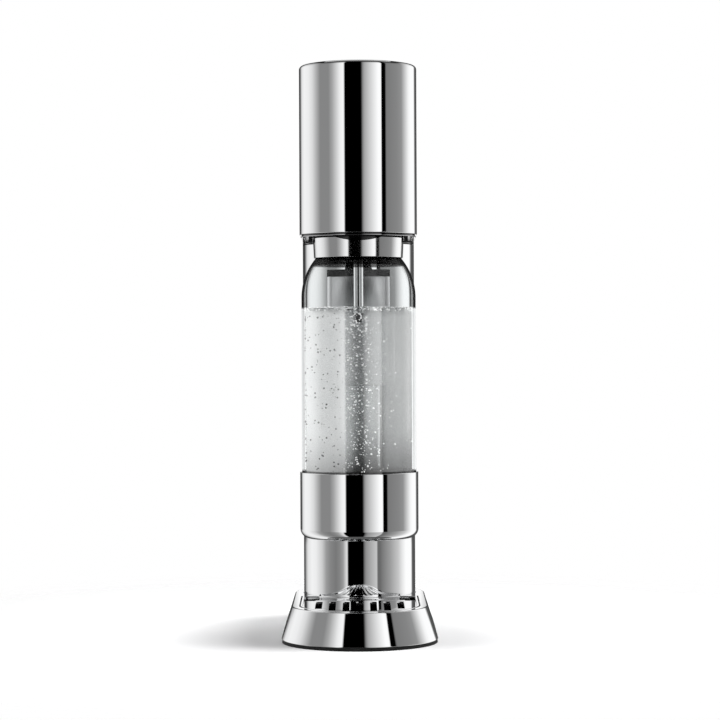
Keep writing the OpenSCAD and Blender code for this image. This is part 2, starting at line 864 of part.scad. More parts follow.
module nozzle_tube() {
  low = mouth_z - nozzle_len;
  color("lightgray") translate([0, front_y, low]) difference() {
    cylinder(h = holder_top - low - 2, r = nozzle_r);
    translate([0, 0, -cut]) cylinder(h = far, r = 1.5);
  }
}

module nozzle_tip() {
  color("black") translate([0, front_y, mouth_z - nozzle_len]) rotate([180, 0, 0]) difference() {
    union() {
      cylinder(h = tip_len, r = nozzle_r - 1.3);
      cylinder(h = 2, r = nozzle_r);
    }
    translate([0, 0, -cut]) cylinder(h = far, r = 0.6);
  }
}

// Bottle

// Profile of the bottle, drawn in by a wall
module bottle_profile(inset) {
  side = bottle_r - inset;
  low = bottle_z + inset;
  edge = foot_edge - inset;
  translate([0, low + edge]) square([side, shoulder_z - low - edge]);
  translate([0, low]) square([side - edge, edge]);
  translate([side - edge, low + edge]) intersection() {
    circle(edge);
    translate([0, -edge]) square(edge);
  }
  intersection() {
    translate([shoulder_x, shoulder_z]) circle(shoulder_r - inset);
    translate([0, shoulder_z - cut]) square([bottle_r, mouth_z - 18 - shoulder_z]);
  }
}

module bottle() {
  color("aliceblue", 0.5) translate([0, front_y, 0]) rotate_extrude() difference() {
    union() {
      bottle_profile(0);
      translate([0, shoulder_z + 20]) square([neck_r, mouth_z - shoulder_z - 20]);
      translate([0, mouth_z - 18.5]) square([neck_ring_r, 2.2]);
      translate([0, mouth_z - 5]) square([neck_r + 0.9, 2]);
      translate([0, mouth_z - 10]) square([neck_r + 0.9, 2]);
    }
    bottle_profile(bottle_wall);
    translate([0, shoulder_z + 10]) square([neck_r - neck_wall, far]);
    translate([-far, 0]) square([far, 2 * far]);
  }
}

module bottle_base_cup() {
  inner = cup_r - cup_t;
  edge = cup_edge - cup_t;
  color("gainsboro") translate([0, front_y, 0]) rotate_extrude() difference() {
    cup_section(cup_r, cup_z, cup_edge, cup_h);
    cup_section(inner, bottle_z, edge, cup_h);
    translate([-far, 0]) square([far, far]);
  }
}

// Section of a round-footed vessel of radius r that stands at height z
module cup_section(r, z, edge, h) {
  translate([0, z + edge]) square([r, h - edge]);
  translate([0, z]) square([r - edge, edge]);
  translate([r - edge, z + edge]) intersection() {
    circle(edge);
    translate([0, -edge]) square(edge);
  }
}

base_skirt();
base_core();
base_plate();
base_screws();
foot_ring();
drip_tray();
drip_grille();
column_shell();
back_rest();
inner_frame();
rear_cover();
cylinder_seat();
co2_cylinder();
cylinder_valve();
valve_pin();
gas_manifold();
manifold_seal();
manifold_screws();
relief_valve();
gas_pipe();
pipe_fitting();
quick_connect_handle();
handle_pins();
valve_lever();
lever_pivot_pin();
carbonation_button();
button_stem();
stem_clip();
button_spring();
head_shell();
head_trim();
head_underside();
head_chassis();
trunnion_pins();
holder_core();
bottle_collar();
neck_seal();
neck_grip();
nozzle_tube();
nozzle_tip();
bottle();
bottle_base_cup();
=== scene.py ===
from math import asin, pi, radians, sin, sqrt

import bmesh
import bpy
import numpy as np
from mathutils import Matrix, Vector


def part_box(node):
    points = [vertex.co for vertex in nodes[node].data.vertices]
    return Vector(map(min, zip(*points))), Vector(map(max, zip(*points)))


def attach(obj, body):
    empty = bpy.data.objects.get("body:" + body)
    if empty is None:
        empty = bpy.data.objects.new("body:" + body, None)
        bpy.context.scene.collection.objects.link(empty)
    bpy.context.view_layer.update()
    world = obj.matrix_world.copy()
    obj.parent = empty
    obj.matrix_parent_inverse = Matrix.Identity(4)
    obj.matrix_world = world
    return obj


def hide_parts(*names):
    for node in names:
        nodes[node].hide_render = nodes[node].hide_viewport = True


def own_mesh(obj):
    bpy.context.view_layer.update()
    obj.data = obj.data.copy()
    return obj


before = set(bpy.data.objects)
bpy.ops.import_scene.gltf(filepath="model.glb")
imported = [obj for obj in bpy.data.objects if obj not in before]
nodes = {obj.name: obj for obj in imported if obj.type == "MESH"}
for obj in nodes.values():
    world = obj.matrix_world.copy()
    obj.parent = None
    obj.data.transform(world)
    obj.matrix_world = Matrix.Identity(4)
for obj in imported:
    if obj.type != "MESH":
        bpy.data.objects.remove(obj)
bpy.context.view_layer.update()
scene = bpy.context.scene
mm = 0.001
print("frame loaded with", len(nodes), "nodes")

# Places that several pieces share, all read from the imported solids
headLow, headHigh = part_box("head_shell")
bottleLow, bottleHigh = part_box("bottle")
cupLow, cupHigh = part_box("bottle_base_cup")
bodyR = headHigh.x
frontY = headLow.y + bodyR
rearY = headHigh.y - bodyR
seam = 0.4 * mm
tiny = 1e-9      # metres or radians, for comparing
weld = 1e-7      # metres, corners closer than this become one


# Surface tools

def arcLine(centre, radius, start, stop, steps=12):
    # Points on a circle in the plane of radius and height, between two angles in degrees
    turn = np.radians(np.linspace(start, stop, steps + 1))
    return np.stack([centre[0] + radius * np.cos(turn), centre[1] + radius * np.sin(turn)], 1)


def roundCorners(corners, radii, steps=8, lead=0.08 * mm):
    # Swaps each inner corner that has a radius for a tangent arc: its centre lies on the corner's bisector at
    # radius / sin(half angle). A point just outside each end of the arc keeps the flat beside it flat.
    corners = np.array(corners, float)
    line = [corners[:1]]
    for before, corner, after, radius in zip(corners[:-2], corners[1:-1], corners[2:], radii):
        if radius == 0:
            line.append(corner[None])
            continue
        a = (before - corner) / np.linalg.norm(before - corner)
        b = (after - corner) / np.linalg.norm(after - corner)
        half = np.arccos(np.clip(a @ b, -1, 1)) / 2
        reach = radius / np.tan(half)
        centre = corner + (a + b) / np.linalg.norm(a + b) * radius / np.sin(half)
        u, v = corner + a * reach - centre, corner + b * reach - centre
        sweep = pi - 2 * half
        k = np.linspace(0, 1, steps + 1)[:, None]
        arc = centre + (np.sin((1 - k) * sweep) * u + np.sin(k * sweep) * v) / np.sin(sweep)
        line += [(corner + a * (reach + lead))[None], arc, (corner + b * (reach + lead))[None]]
    line.append(corners[-1:])
    return np.concatenate(line)


def pillPath(sideStops, arcSteps):
    # Stations round the pill, front end first: the middle that each is measured from, and its outward angle
    stops = np.array(sideStops)
    frontTurn = np.linspace(-pi, 0, arcSteps + 1)
    rearTurn = np.linspace(0, pi, arcSteps + 1)
    middle = np.concatenate([0 * frontTurn + frontY, stops, 0 * rearTurn + rearY, stops[::-1]])
    turn = np.concatenate([frontTurn, 0 * stops, rearTurn, 0 * stops - pi])
    return middle, turn


def pillGrid(profile, middle, turn):
    # Carries a profile of radius and height along the pill's stations
    r, z = profile[:, 0][None], profile[:, 1][None]
    turn = turn[:, None]
    return np.stack([r * np.cos(turn), middle[:, None] + r * np.sin(turn), z + 0 * turn], -1)


def revolveGrid(profile, centreY, steps=160):
    # Carries a profile once round a standing axis
    turn = np.linspace(0, 2 * pi, steps, endpoint=False)
    return pillGrid(profile, 0 * turn + centreY, turn)


def arcPoints(radius, centreY, turn):
    # Points seen from above, on a circle round a standing axis
    return np.stack([radius * np.cos(turn), centreY + radius * np.sin(turn)], 1)


def gridFaces(points, closeU=False, closeV=False, keep=None):
    # Four-cornered faces between neighbouring points of a grid, as flat arrays
    rows, columns = points.shape[:2]
    index = np.arange(rows * columns).reshape(rows, columns)
    if closeU:
        index = np.vstack([index, index[:1]])
    if closeV:
        index = np.hstack([index, index[:, :1]])
    quads = np.stack([index[:-1, :-1], index[1:, :-1], index[1:, 1:], index[:-1, 1:]], -1)
    quads = quads.reshape(-1, 4) if keep is None else quads[keep]
    return points.reshape(-1, 3), quads


def buildMesh(name, parts, crease):
    corners = np.concatenate([part[0] for part in parts])
    starts = np.cumsum([0] + [len(part[0]) for part in parts[:-1]])
    faces = np.concatenate([part[1] + start for part, start in zip(parts, starts)])
    mesh = bpy.data.meshes.new(name)
    mesh.from_pydata(corners.tolist(), [], faces.tolist())
    work = bmesh.new()
    work.from_mesh(mesh)
    bmesh.ops.remove_doubles(work, verts=work.verts, dist=weld)
    bmesh.ops.delete(work, geom=[v for v in work.verts if not v.link_faces], context="VERTS")
    work.to_mesh(mesh)
    work.free()
    shadeMesh(mesh, crease)
    return mesh


def shadeMesh(mesh, crease):
    mesh.polygons.foreach_set("use_smooth", np.ones(len(mesh.polygons), bool))
    mesh.set_sharp_from_angle(angle=radians(crease))


def addPiece(name, parts, finish, body, slot, stands=(), wall=0.0, bevel=0.0, crease=35):
    mesh = buildMesh(name, parts, crease)
    piece = bpy.data.objects.new(name, mesh)
    scene.collection.objects.link(piece)
    mesh.materials.append(finish)
    if wall:
        thicken = piece.modifiers.new("wall", "SOLIDIFY")
        thicken.thickness = wall
        thicken.offset = -1
        thicken.use_even_offset = True
    if bevel:
        soften = piece.modifiers.new("edge", "BEVEL")
        soften.width = bevel
        soften.segments = 2
        soften.limit_method = "ANGLE"
        soften.angle_limit = radians(40)
    if wall or bevel:
        bpy.context.view_layer.update()
        made = piece.evaluated_get(bpy.context.evaluated_depsgraph_get())
        solid = bpy.data.meshes.new_from_object(made)
        piece.modifiers.clear()
        piece.data = solid
        shadeMesh(solid, crease)
    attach(piece, body)
    if stands:
        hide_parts(*stands)
    print("piece", name, len(piece.data.polygons), "faces")


def addRound(name, line, steps, closed, *about, centreY=frontY, **more):
    # A profile turned once round the bottle's axis, or round another one behind it
    addPiece(name, [gridFaces(revolveGrid(line, centreY, steps), True, closed)], *about, **more)


# Node tools

def feed(tree, socket, value):
    # Links an output to a socket, or sets the socket to a plain value
    if isinstance(value, bpy.types.NodeSocket):
        tree.links.new(value, socket)
    else:
        socket.default_value = value


def addNode(tree, kind, given=None, **settings):
    # Settings come first, as some of them decide which sockets there are
    node = tree.nodes.new("ShaderNode" + kind)
    for name, setting in settings.items():
        setattr(node, name, setting)
    for label, value in (given or {}).items():
        feed(tree, node.inputs[label], value)
    return node


def addMath(tree, operation, *values):
    return addNode(tree, "Math", dict(enumerate(values)), operation=operation).outputs[0]


def addMix(tree, factor, a, b, kind="FLOAT"):
    return addNode(tree, "Mix", {"Factor": factor, "A": a, "B": b}, data_type=kind).outputs["Result"]


def addSpread(tree, value, low, high, smooth=False, least=0, most=1):
    # Carries a value from the range between low and high to the one between least and most
    given = {"Value": value, "From Min": low, "From Max": high, "To Min": least, "To Max": most}
    ease = "SMOOTHSTEP" if smooth else "LINEAR"
    return addNode(tree, "MapRange", given, interpolation_type=ease).outputs[0]


def addPlace(tree):
    # The piece's own x, y and z
    place = addNode(tree, "TexCoord").outputs["Object"]
    return addNode(tree, "SeparateXYZ", {0: place}).outputs


def addNoise(tree, scale, detail):
    place = addNode(tree, "TexCoord").outputs["Object"]
    return addNode(tree, "TexNoise", {"Vector": place, "Scale": scale, "Detail": detail}).outputs["Fac"]


def addFacing(tree):
    return addNode(tree, "LayerWeight", {"Blend": 0.5}).outputs["Facing"]


def addShiny(tree, path):
    # Rays that come from metal or through clear plastic
    return addMath(tree, "MAXIMUM", path["Is Glossy Ray"], path["Is Transmission Ray"])


def addRamp(tree, value, spots):
    ramp = addNode(tree, "ValToRGB", {0: value})
    stops = ramp.color_ramp.elements
    for place, level in spots[2:]:
        stops.new(place)
    for stop, (place, level) in zip(stops, spots):
        stop.position = place
        stop.color = (level, level, level, 1)
    return ramp.outputs["Color"]


def newMaterial(name):
    material = bpy.data.materials.new(name)
    material.use_nodes = True
    material.node_tree.nodes.clear()
    return material, material.node_tree


def closeTree(tree, shader, kind="OutputMaterial"):
    addNode(tree, kind, {"Surface": shader.outputs[0]})


# Camera and studio

cameraLook = {
    "lens": 115,
    "sensor": 36,
    "distance": 1.774,
    "height": 0.2172,
    "roll": 0.245,          # degrees, the stand leans a little to the left in the picture
    "frame": 720,           # pixels on a side
    "shift": (1.25, -8.0),  # pixels
    "far": 50,
}


def makeCamera(look):
    data = bpy.data.cameras.new("camera")
    data.lens = look["lens"]
    data.sensor_width = look["sensor"]
    data.shift_x, data.shift_y = (pixels / look["frame"] for pixels in look["shift"])
    data.clip_end = look["far"]
    camera = bpy.data.objects.new("camera", data)
    camera.location = (0, -look["distance"], look["height"])
    camera.rotation_euler = (radians(90), radians(look["roll"]), 0)
    scene.collection.objects.link(camera)
    scene.camera = camera


worldLook = {"ambient": 0.07, "overhead": 0.1, "background": 1.0}


def makeWorld(look):
    # Matt faces get the room's level, metal and clear plastic a dark ceiling, the camera a white background
    world = bpy.data.worlds.new("studio")
    world.use_nodes = True
    scene.world = world
    tree = world.node_tree
    tree.nodes.clear()
    path = addNode(tree, "LightPath").outputs
    seen = addMix(tree, addShiny(tree, path), look["ambient"], look["overhead"])
    shown = addMix(tree, path["Is Camera Ray"], seen, look["background"])
    closeTree(tree, addNode(tree, "Background", {"Color": shown}), "OutputWorld")


tentLook = {
    "radius": 0.4, "low": -0.5, "high": 1.0, "sides": 128,
    # light cards round the stand: degrees from the camera, to the right, and brightness
    "cards": [
        (-180, 0.05), (-148, 0.05), (-136, 0.8), (-124, 0.95), (-108, 0.9), (-96, 0.75), (-84, 0.45),
        (-75, 0.25), (-56, 0.25), (-48, 0.4), (-40, 0.65), (-33, 0.9), (-26, 1.0), (-24, 0.0), (6.5, 0.0),
        (8.5, 0.2), (12, 0.4), (38, 1.05), (43.5, 1.05), (44.5, 0.0), (52.5, 0.0), (54, 0.2), (78, 0.25),
        (90, 0.3), (112, 0.95), (120, 1.05), (136, 1.05), (143, 0.1), (180, 0.05),
    ],
    # softer cards, shown near the floor and to what is seen through the bottle
    "softCards": [
        (-180, 0.05), (-156, 0.05), (-139, 0.8), (-124, 0.95), (-111, 0.9), (-94, 0.65), (-83, 0.35),
        (-72, 0.25), (-58, 0.2), (-48, 0.25), (-40, 0.35), (-33, 0.7), (-30, 0.8), (-28, 0.0), (9, 0.0),
        (11.5, 0.15), (16, 0.3), (42, 0.6), (44, 0.15), (50, 0.15), (55, 0.2), (75, 0.35), (97, 0.6),
        (108, 0.85), (119, 1.05), (138, 1.05), (144, 0.1), (180, 0.05),
    ],
    "floorZone": (0.05, 0.04),    # heights between which the softer cards come in
    "rear": (128, 138),           # degrees, beyond which clear plastic sees the white background
    "strip": (170, 172),          # degrees, beyond which a white strip stands behind the stand
    "stripZ": (0.05, 0.6),        # its heights
    "stripEdge": 0.01,
    "topFade": (0.85, 0.5),       # heights between which the cards end
    # a card overhead: half width, near and far edge, height and brightness
    "topCard": (0.6, 0.05, 1.1, 1.2, 0.7),
}


def makeTent(look):
    # A round tent of cards about the bottle, seen only by metal and clear plastic. Its brightness follows the
    # angle round the bottle's axis, so the column behind sees the same cards at other angles.
    turn = np.linspace(0, 2 * pi, look["sides"] + 1)[:-1]
    ring = np.stack([look["radius"] * np.cos(turn), look["radius"] * np.sin(turn) + frontY], 1)
    points = np.stack([np.column_stack([ring, 0 * turn + z]) for z in (look["low"], look["high"])], 1)
    material, tree = newMaterial("tentCards")
    x, y, z = addPlace(tree)
    angle = addMath(tree, "ARCTAN2", x, addMath(tree, "SUBTRACT", frontY, y))
    share = addSpread(tree, angle, -pi, pi)
    cards, softCards = (addRamp(tree, share, [(degrees / 360 + 0.5, level) for degrees, level in look[name]])
                        for name in ("cards", "softCards"))
    through = addNode(tree, "LightPath").outputs["Is Transmission Ray"]
    soft = addMath(tree, "MAXIMUM", addSpread(tree, z, *look["floorZone"]), through)
    around = addMath(tree, "ABSOLUTE", angle)
    rear, strip = (addSpread(tree, around, *np.radians(look[name])) for name in ("rear", "strip"))
    low, high = look["stripZ"]
    strip = addMath(tree, "MULTIPLY", strip, addSpread(tree, z, low - look["stripEdge"], low))
    strip = addMath(tree, "MULTIPLY", strip, addSpread(tree, z, high + look["stripEdge"], high))
    white = addMath(tree, "MAXIMUM", addMath(tree, "MULTIPLY", through, rear), strip)
    shown = addMix(tree, white, addMix(tree, soft, cards, softCards), 1.0)
    fade = addSpread(tree, z, *look["topFade"])
    closeTree(tree, addNode(tree, "Emission", {"Color": shown, "Strength": fade}))
    addCard("tent", buildMesh("tent", [gridFaces(points, closeU=True)], 60), material)


def makeTopCard(look):
    # A plain card above and behind the stand, which the flat top shows when seen from the front
    half, near, far, z, level = look["topCard"]
    material, tree = newMaterial("topCardGlow")
    closeTree(tree, addNode(tree, "Emission", {"Strength": level}))
    addCard("topCard", flatMesh("topCard", half, near, far, z), material)


def flatMesh(name, half, near, far, z):
    mesh = bpy.data.meshes.new(name)
    mesh.from_pydata([(-half, near, z), (half, near, z), (half, far, z), (-half, far, z)], [], [(0, 1, 2, 3)])
    return mesh


def addCard(name, mesh, material):
    card = bpy.data.objects.new(name, mesh)
    scene.collection.objects.link(card)
    mesh.materials.append(material)
    card.visible_camera = False
    card.visible_diffuse = False
    card.visible_shadow = False


lampLook = {
    # place, aim, size, power and spread: the right box throws the longer shadow to the left, and two spots
    # behind the stand keep the floor beside the column light
    "rightBox": ((0.22, -0.08, 2.0), (0.22, -0.08, 0), (0.26, 0.18), 32, 180),
    "leftBox": ((-0.17, -0.08, 2.0), (-0.17, -0.08, 0), (0.2, 0.18), 14, 180),
    "leftSpot": ((-0.45, 0.5, 0.5), (-0.13, 0.16, 0), (0.16, 0.16), 0.05, 14),
    "rightSpot": ((0.45, 0.5, 0.5), (0.13, 0.16, 0), (0.16, 0.16), 0.05, 14),
}


def makeLamps(look):
    # Soft boxes overhead and spots behind. The metal shows the tent's cards, not the lamps.
    for name, (place, aim, size, power, spread) in look.items():
        data = bpy.data.lights.new(name, "AREA")
        data.shape = "RECTANGLE"
        data.size, data.size_y = size
        data.energy = power
        data.spread = radians(spread)
        lamp = bpy.data.objects.new(name, data)
        lamp.location = place
        lamp.rotation_euler = (Vector(aim) - Vector(place)).to_track_quat("-Z", "Y").to_euler()
        lamp.visible_glossy = False
        lamp.visible_transmission = False
        scene.collection.objects.link(lamp)


floorLook = {"half": 1.0, "colour": (0.88, 0.88, 0.885, 1), "lift": 0.02, "solid": 0.24, "gone": 0.5}


def makeFloor(look):
    # The floor thins out to the plain background, and metal and clear plastic see the studio through it
    mesh = flatMesh("floor", look["half"], -look["half"], look["half"], 0)
    floor = bpy.data.objects.new("floor", mesh)
    scene.collection.objects.link(floor)
    material, tree = newMaterial("paleFloor")
    path = addNode(tree, "LightPath").outputs
    matt = addNode(tree, "BsdfDiffuse", {"Color": look["colour"]})
    lift = addMath(tree, "MULTIPLY", path["Is Camera Ray"], look["lift"])
    glow = addNode(tree, "Emission", {"Strength": lift})
    both = addNode(tree, "AddShader", {0: matt.outputs[0], 1: glow.outputs[0]})
    place = addNode(tree, "TexCoord").outputs["Object"]
    away = addNode(tree, "VectorMath", {0: place}, operation="LENGTH").outputs["Value"]
    thin = addSpread(tree, away, look["solid"], look["gone"], True)
    gap = addNode(tree, "BsdfTransparent")
    hide = addMath(tree, "MAXIMUM", addShiny(tree, path), thin)
    closeTree(tree, addNode(tree, "MixShader", {0: hide, 1: both.outputs[0], 2: gap.outputs[0]}))
    mesh.materials.append(material)


makeCamera(cameraLook)
makeWorld(worldLook)
makeTent(tentLook)
makeTopCard(tentLook)
makeLamps(lampLook)
makeFloor(floorLook)
scene.view_settings.view_transform = "Standard"
scene.cycles.max_bounces = 24    # light crosses the bottle, meets the column and comes back
scene.cycles.transmission_bounces = 24
scene.cycles.glossy_bounces = 8
print("camera, studio and floor set")


# Effects that several finishes share

def newGroup(name, inputs, outputs):
    # An input's kind follows from its value: a number, a vector or a colour
    group = bpy.data.node_groups.new(name, "ShaderNodeTree")
    for label, value in inputs.items():
        kind = {3: "Vector", 4: "Color"}[len(value)] if isinstance(value, tuple) else "Float"
        socket = group.interface.new_socket(name=label, in_out="INPUT", socket_type="NodeSocket" + kind)
        socket.default_value = value
    for label, kind in outputs.items():
        group.interface.new_socket(name=label, in_out="OUTPUT", socket_type="NodeSocket" + kind)
    return group, group.nodes.new("NodeGroupInput").outputs, group.nodes.new("NodeGroupOutput").inputs


def makeHandling():
    # Wiped and handled places: a soft noise moves the roughness between two limits
    group, given, result = newGroup("handling", {"Scale": 14, "Least": 0.02, "Most": 0.05},
                                    {"Roughness": "Float"})
    noise = addNoise(group, given["Scale"], 5)
    span = addSpread(group, noise, 0.38, 0.68, False, given["Least"], given["Most"])
    feed(group, result["Roughness"], span)
    return group


def makeMouldGrain():
    # Fine pits of a moulded face: a dense noise for the relief, and its large drift for the roughness
    group, given, result = newGroup("mouldGrain", {"Scale": 1800, "Least": 0.4, "Most": 0.55},
                                    {"Roughness": "Float", "Height": "Float"})
    wide = addNoise(group, addMath(group, "MULTIPLY", given["Scale"], 0.02), 3)
    feed(group, result["Roughness"], addSpread(group, wide, 0.3, 0.7, False, given["Least"], given["Most"]))
    feed(group, result["Height"], addNoise(group, given["Scale"], 2))
    return group


def makeTurned():
    # Lathe marks: rings round the local Z axis, with a roughness that follows them
    group, given, result = newGroup("turned", {"Vector": (0, 0, 0), "Scale": 900, "Least": 0.2, "Most": 0.34},
                                    {"Roughness": "Float", "Height": "Float"})
    marks = {"Vector": given["Vector"], "Scale": given["Scale"], "Distortion": 1.5, "Detail": 3}
    rings = addNode(group, "TexWave", marks, wave_type="RINGS", rings_direction="Z").outputs["Fac"]
    feed(group, result["Roughness"], addSpread(group, rings, 0, 1, False, given["Least"], given["Most"]))
    feed(group, result["Height"], rings)
    return group


def makeDrift():
    # Slow change between two colours
    group, given, result = newGroup("drift", {"Scale": 30, "Dark": (0, 0, 0, 1), "Light": (1, 1, 1, 1)},
                                    {"Color": "Color"})
    ease = addSpread(group, addNoise(group, given["Scale"], 4), 0.32, 0.68)
    feed(group, result["Color"], addMix(group, ease, given["Dark"], given["Light"], "RGBA"))
    return group


handling = makeHandling()
mouldGrain = makeMouldGrain()
turned = makeTurned()
drift = makeDrift()


# Finishes

def newFinish(name, plain):
    material = bpy.data.materials.new(name)
    material.use_nodes = True
    shader = material.node_tree.nodes["Principled BSDF"]
    for label, value in plain.items():
        shader.inputs[label].default_value = value
    return material, material.node_tree, shader


def addDrift(tree, shader, scale, dark, light):
    given = {"Scale": scale, "Dark": dark + (1,), "Light": light + (1,)}
    feed(tree, shader.inputs["Base Color"], addNode(tree, "Group", given, node_tree=drift).outputs["Color"])


def addGrain(tree, shader, group, given, depth=0.0):
    # A group's roughness, and its relief where there is a depth
    made = addNode(tree, "Group", given, node_tree=group).outputs
    feed(tree, shader.inputs["Roughness"], made["Roughness"])
    if depth:
        bump = addNode(tree, "Bump", {"Distance": depth, "Height": made["Height"]})
        feed(tree, shader.inputs["Normal"], bump.outputs[0])


def polished(name, colour, scale, least, most):
    material, tree, shader = newFinish(name, {"Base Color": colour + (1,), "Metallic": 1.0})
    addGrain(tree, shader, handling, {"Scale": scale, "Least": least, "Most": most})
    return material


def moulded(name, dark, light, grain, least, most, depth, metallic=0.0):
    material, tree, shader = newFinish(name, {"Metallic": metallic})
    addDrift(tree, shader, 25, dark, light)
    addGrain(tree, shader, mouldGrain, {"Scale": grain, "Least": least, "Most": most}, depth)
    return material


def lathed(name, dark, light, axisY, scale, least, most, depth):
    material, tree, shader = newFinish(name, {"Metallic": 1.0})
    addDrift(tree, shader, 60, dark, light)
    place = addNode(tree, "TexCoord").outputs["Object"]
    centred = addNode(tree, "Mapping", {"Vector": place, "Location": (0, -axisY, 0)}).outputs[0]
    addGrain(tree, shader, turned, {"Vector": centred, "Scale": scale, "Least": least, "Most": most}, depth)
    return material


def clear(name, look):
    plain = {"Transmission Weight": 1.0, "IOR": look["ior"], "Roughness": 0.0}
    material, tree, shader = newFinish(name, plain)
    addDrift(tree, shader, 40, look["dark"], look["light"])
    # Paints the shade bands into the colour
    for band in look["paintedShadeBands"]:
        addBand(material, *band)
    return material


def tintWhere(material, mask, level):
    tree = material.node_tree
    base = tree.nodes["Principled BSDF"].inputs["Base Color"]
    before = base.links[0].from_socket if base.is_linked else base.default_value
    feed(tree, base, addMix(tree, mask, before, (level, level, level, 1), "RGBA"))


def addBand(material, low, high, soft, level):
    # Darkens the colour between two heights: painted shade in the wall and the drink, and the trim's dark
    # foot
    tree = material.node_tree
    z = addPlace(tree)["Z"]
    rise = addSpread(tree, z, low - soft, low + soft, True)
    fall = addSpread(tree, z, high + soft, high - soft, True)
    tintWhere(material, addMath(tree, "MULTIPLY", rise, fall), level)


def addSquares(tree, a, b):
    return addMath(tree, "ADD", addMath(tree, "MULTIPLY", a, a), addMath(tree, "MULTIPLY", b, b))


def onOutside(tree, look):
    # Tells the bottle's outer face from its inner one by the distance from the middle of the shoulder's arc
    x, y, z = addPlace(tree)
    r = addMath(tree, "SQRT", addSquares(tree, x, addMath(tree, "SUBTRACT", y, frontY)))
    out = addMath(tree, "SUBTRACT", r, bottleHigh.x - look["shoulder"])
    up = addMath(tree, "MAXIMUM", addMath(tree, "SUBTRACT", z, bottleHigh.z - look["shoulderDrop"]), 0)
    away = addSquares(tree, out, up)
    return addMath(tree, "GREATER_THAN", away, (look["shoulder"] - look["wall"] / 2) ** 2)


def addPaintedDarkEdge(material, look, bottle):
    # Painted shade: above the water the wall's colour is painted dark where it is seen edge-on, for the dark
    # outline the real wall shows as light leaves it sideways
    tree = material.node_tree
    edge = addSpread(tree, addFacing(tree), *look["edge"], True)
    air = addSpread(tree, addPlace(tree)["Z"], waterLevel - look["soft"], waterLevel + look["soft"], True)
    edge = addMath(tree, "MULTIPLY", edge, onOutside(tree, bottle))
    tintWhere(material, addMath(tree, "MULTIPLY", edge, air), look["paintedEdgeLevel"])


def addCoat(material, look):
    # The wall's face mirrors the studio, and more so below the water, where the dim drink stands behind it.
    # It weakens towards the foot and where the wall is seen edge-on.
    tree = material.node_tree
    coat = tree.nodes["Principled BSDF"].inputs
    coat["Coat IOR"].default_value = look["coat"]
    coat["Coat Roughness"].default_value = 0.0
    z = addPlace(tree)["Z"]
    share = addSpread(tree, z, waterLevel + look["soft"], waterLevel - look["soft"], True, look["coatAir"])
    rise = addSpread(tree, z, *look["coatFade"], True, look["coatFoot"])
    front = addSpread(tree, addFacing(tree), *look["coatEdge"], True)
    feed(tree, coat["Coat Weight"], addMath(tree, "MULTIPLY", addMath(tree, "MULTIPLY", share, rise), front))


def addPaintedBubbleGlow(material, look):
    # Painted light: the bubbles get a painted glow and a light colour right of a line and in the foam, and a
    # painted dark colour on the left, where the haze is dense
    tree = material.node_tree
    shader = tree.nodes["Principled BSDF"]
    place = addPlace(tree)
    across, above = addSpread(tree, place["X"], *look["side"]), addSpread(tree, place["Z"], *look["paintedShineZ"])
    paintedShine = addMath(tree, "MAXIMUM", across, above)
    feed(tree, shader.inputs["Emission Color"], paintedShine)
    shader.inputs["Emission Strength"].default_value = look["paintedShine"]
    feed(tree, shader.inputs["Base Color"], addSpread(tree, paintedShine, 0, 1, False, *look["levels"]))


def paintedGlowVeil(name, look):
    # A thin haze of the finest bubbles with a painted glow: it emits light that stands in for light on the
    # haze.
    # Its cover, and with it the painted glow, grows with height, drifts with a noise, is dense on the left,
    # where the light is painted strongest, and has a weaker band on the right
    material, tree, shader = newFinish(name, {
        "Base Color": (0.9, 0.9, 0.9, 1), "Roughness": 1.0, "Specular IOR Level": 0.0,
        "Emission Color": (1, 1, 1, 1), "Emission Strength": look["glow"]})
    low, high = look["fade"]
    tall = high - low
    place = addPlace(tree)
    x, z = place["X"], place["Z"]
    wave = addMath(tree, "MULTIPLY_ADD", addNoise(tree, look["noise"], 4), tall * 0.5, z)
    rise = addSpread(tree, wave, low + tall * 0.25, high + tall * 0.25, True)
    dense = addSpread(tree, x, 0, -look["lean"], True)
    cover = addSpread(tree, dense, 0, 1, False, look["middle"], look["left"])
    start, full, last, end = look["band"]
    band = addMath(tree, "MULTIPLY", addSpread(tree, x, start, full, True),
                   addSpread(tree, x, end, last, True))
    cover = addMath(tree, "ADD", cover, addMath(tree, "MULTIPLY", band, look["right"] - look["middle"]))
    thin = addMath(tree, "MULTIPLY", addSpread(tree, rise, 0, 1, False, look["foot"]),
                   addSpread(tree, z, *look["top"], True, look["crown"]))
    feed(tree, shader.inputs["Alpha"], addMath(tree, "MULTIPLY", cover, thin))
    return material


chrome = polished("mirrorChrome", (0.93, 0.935, 0.94), 14, 0.012, 0.035)
collarChrome = polished("collarChrome", (0.9, 0.905, 0.91), 22, 0.07, 0.11)
restSatin = polished("restSatin", (0.92, 0.92, 0.93), 30, 0.3, 0.36)
trimChrome = polished("trimChrome", (0.4, 0.4, 0.405), 22, 0.05, 0.1)
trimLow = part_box("head_trim")[0].z
addBand(trimChrome, trimLow - 2 * mm, trimLow + 0.7 * mm, 0.1 * mm, 0.01)
grainBlack = moulded("grainBlack", (0.014, 0.014, 0.015), (0.024, 0.024, 0.026), 1800, 0.42, 0.58, 0.02 * mm)
glossBlack = moulded("glossBlack", (0.006, 0.006, 0.007), (0.012, 0.012, 0.013), 900, 0.08, 0.16, 0.002 * mm)
softRubber = moulded("softRubber", (0.012, 0.012, 0.012), (0.022, 0.022, 0.022), 2600, 0.7, 0.85, 0.03 * mm)
handleGrey = moulded("handleGrey", (0.3, 0.31, 0.33), (0.36, 0.37, 0.39), 1500, 0.3, 0.42, 0.01 * mm)
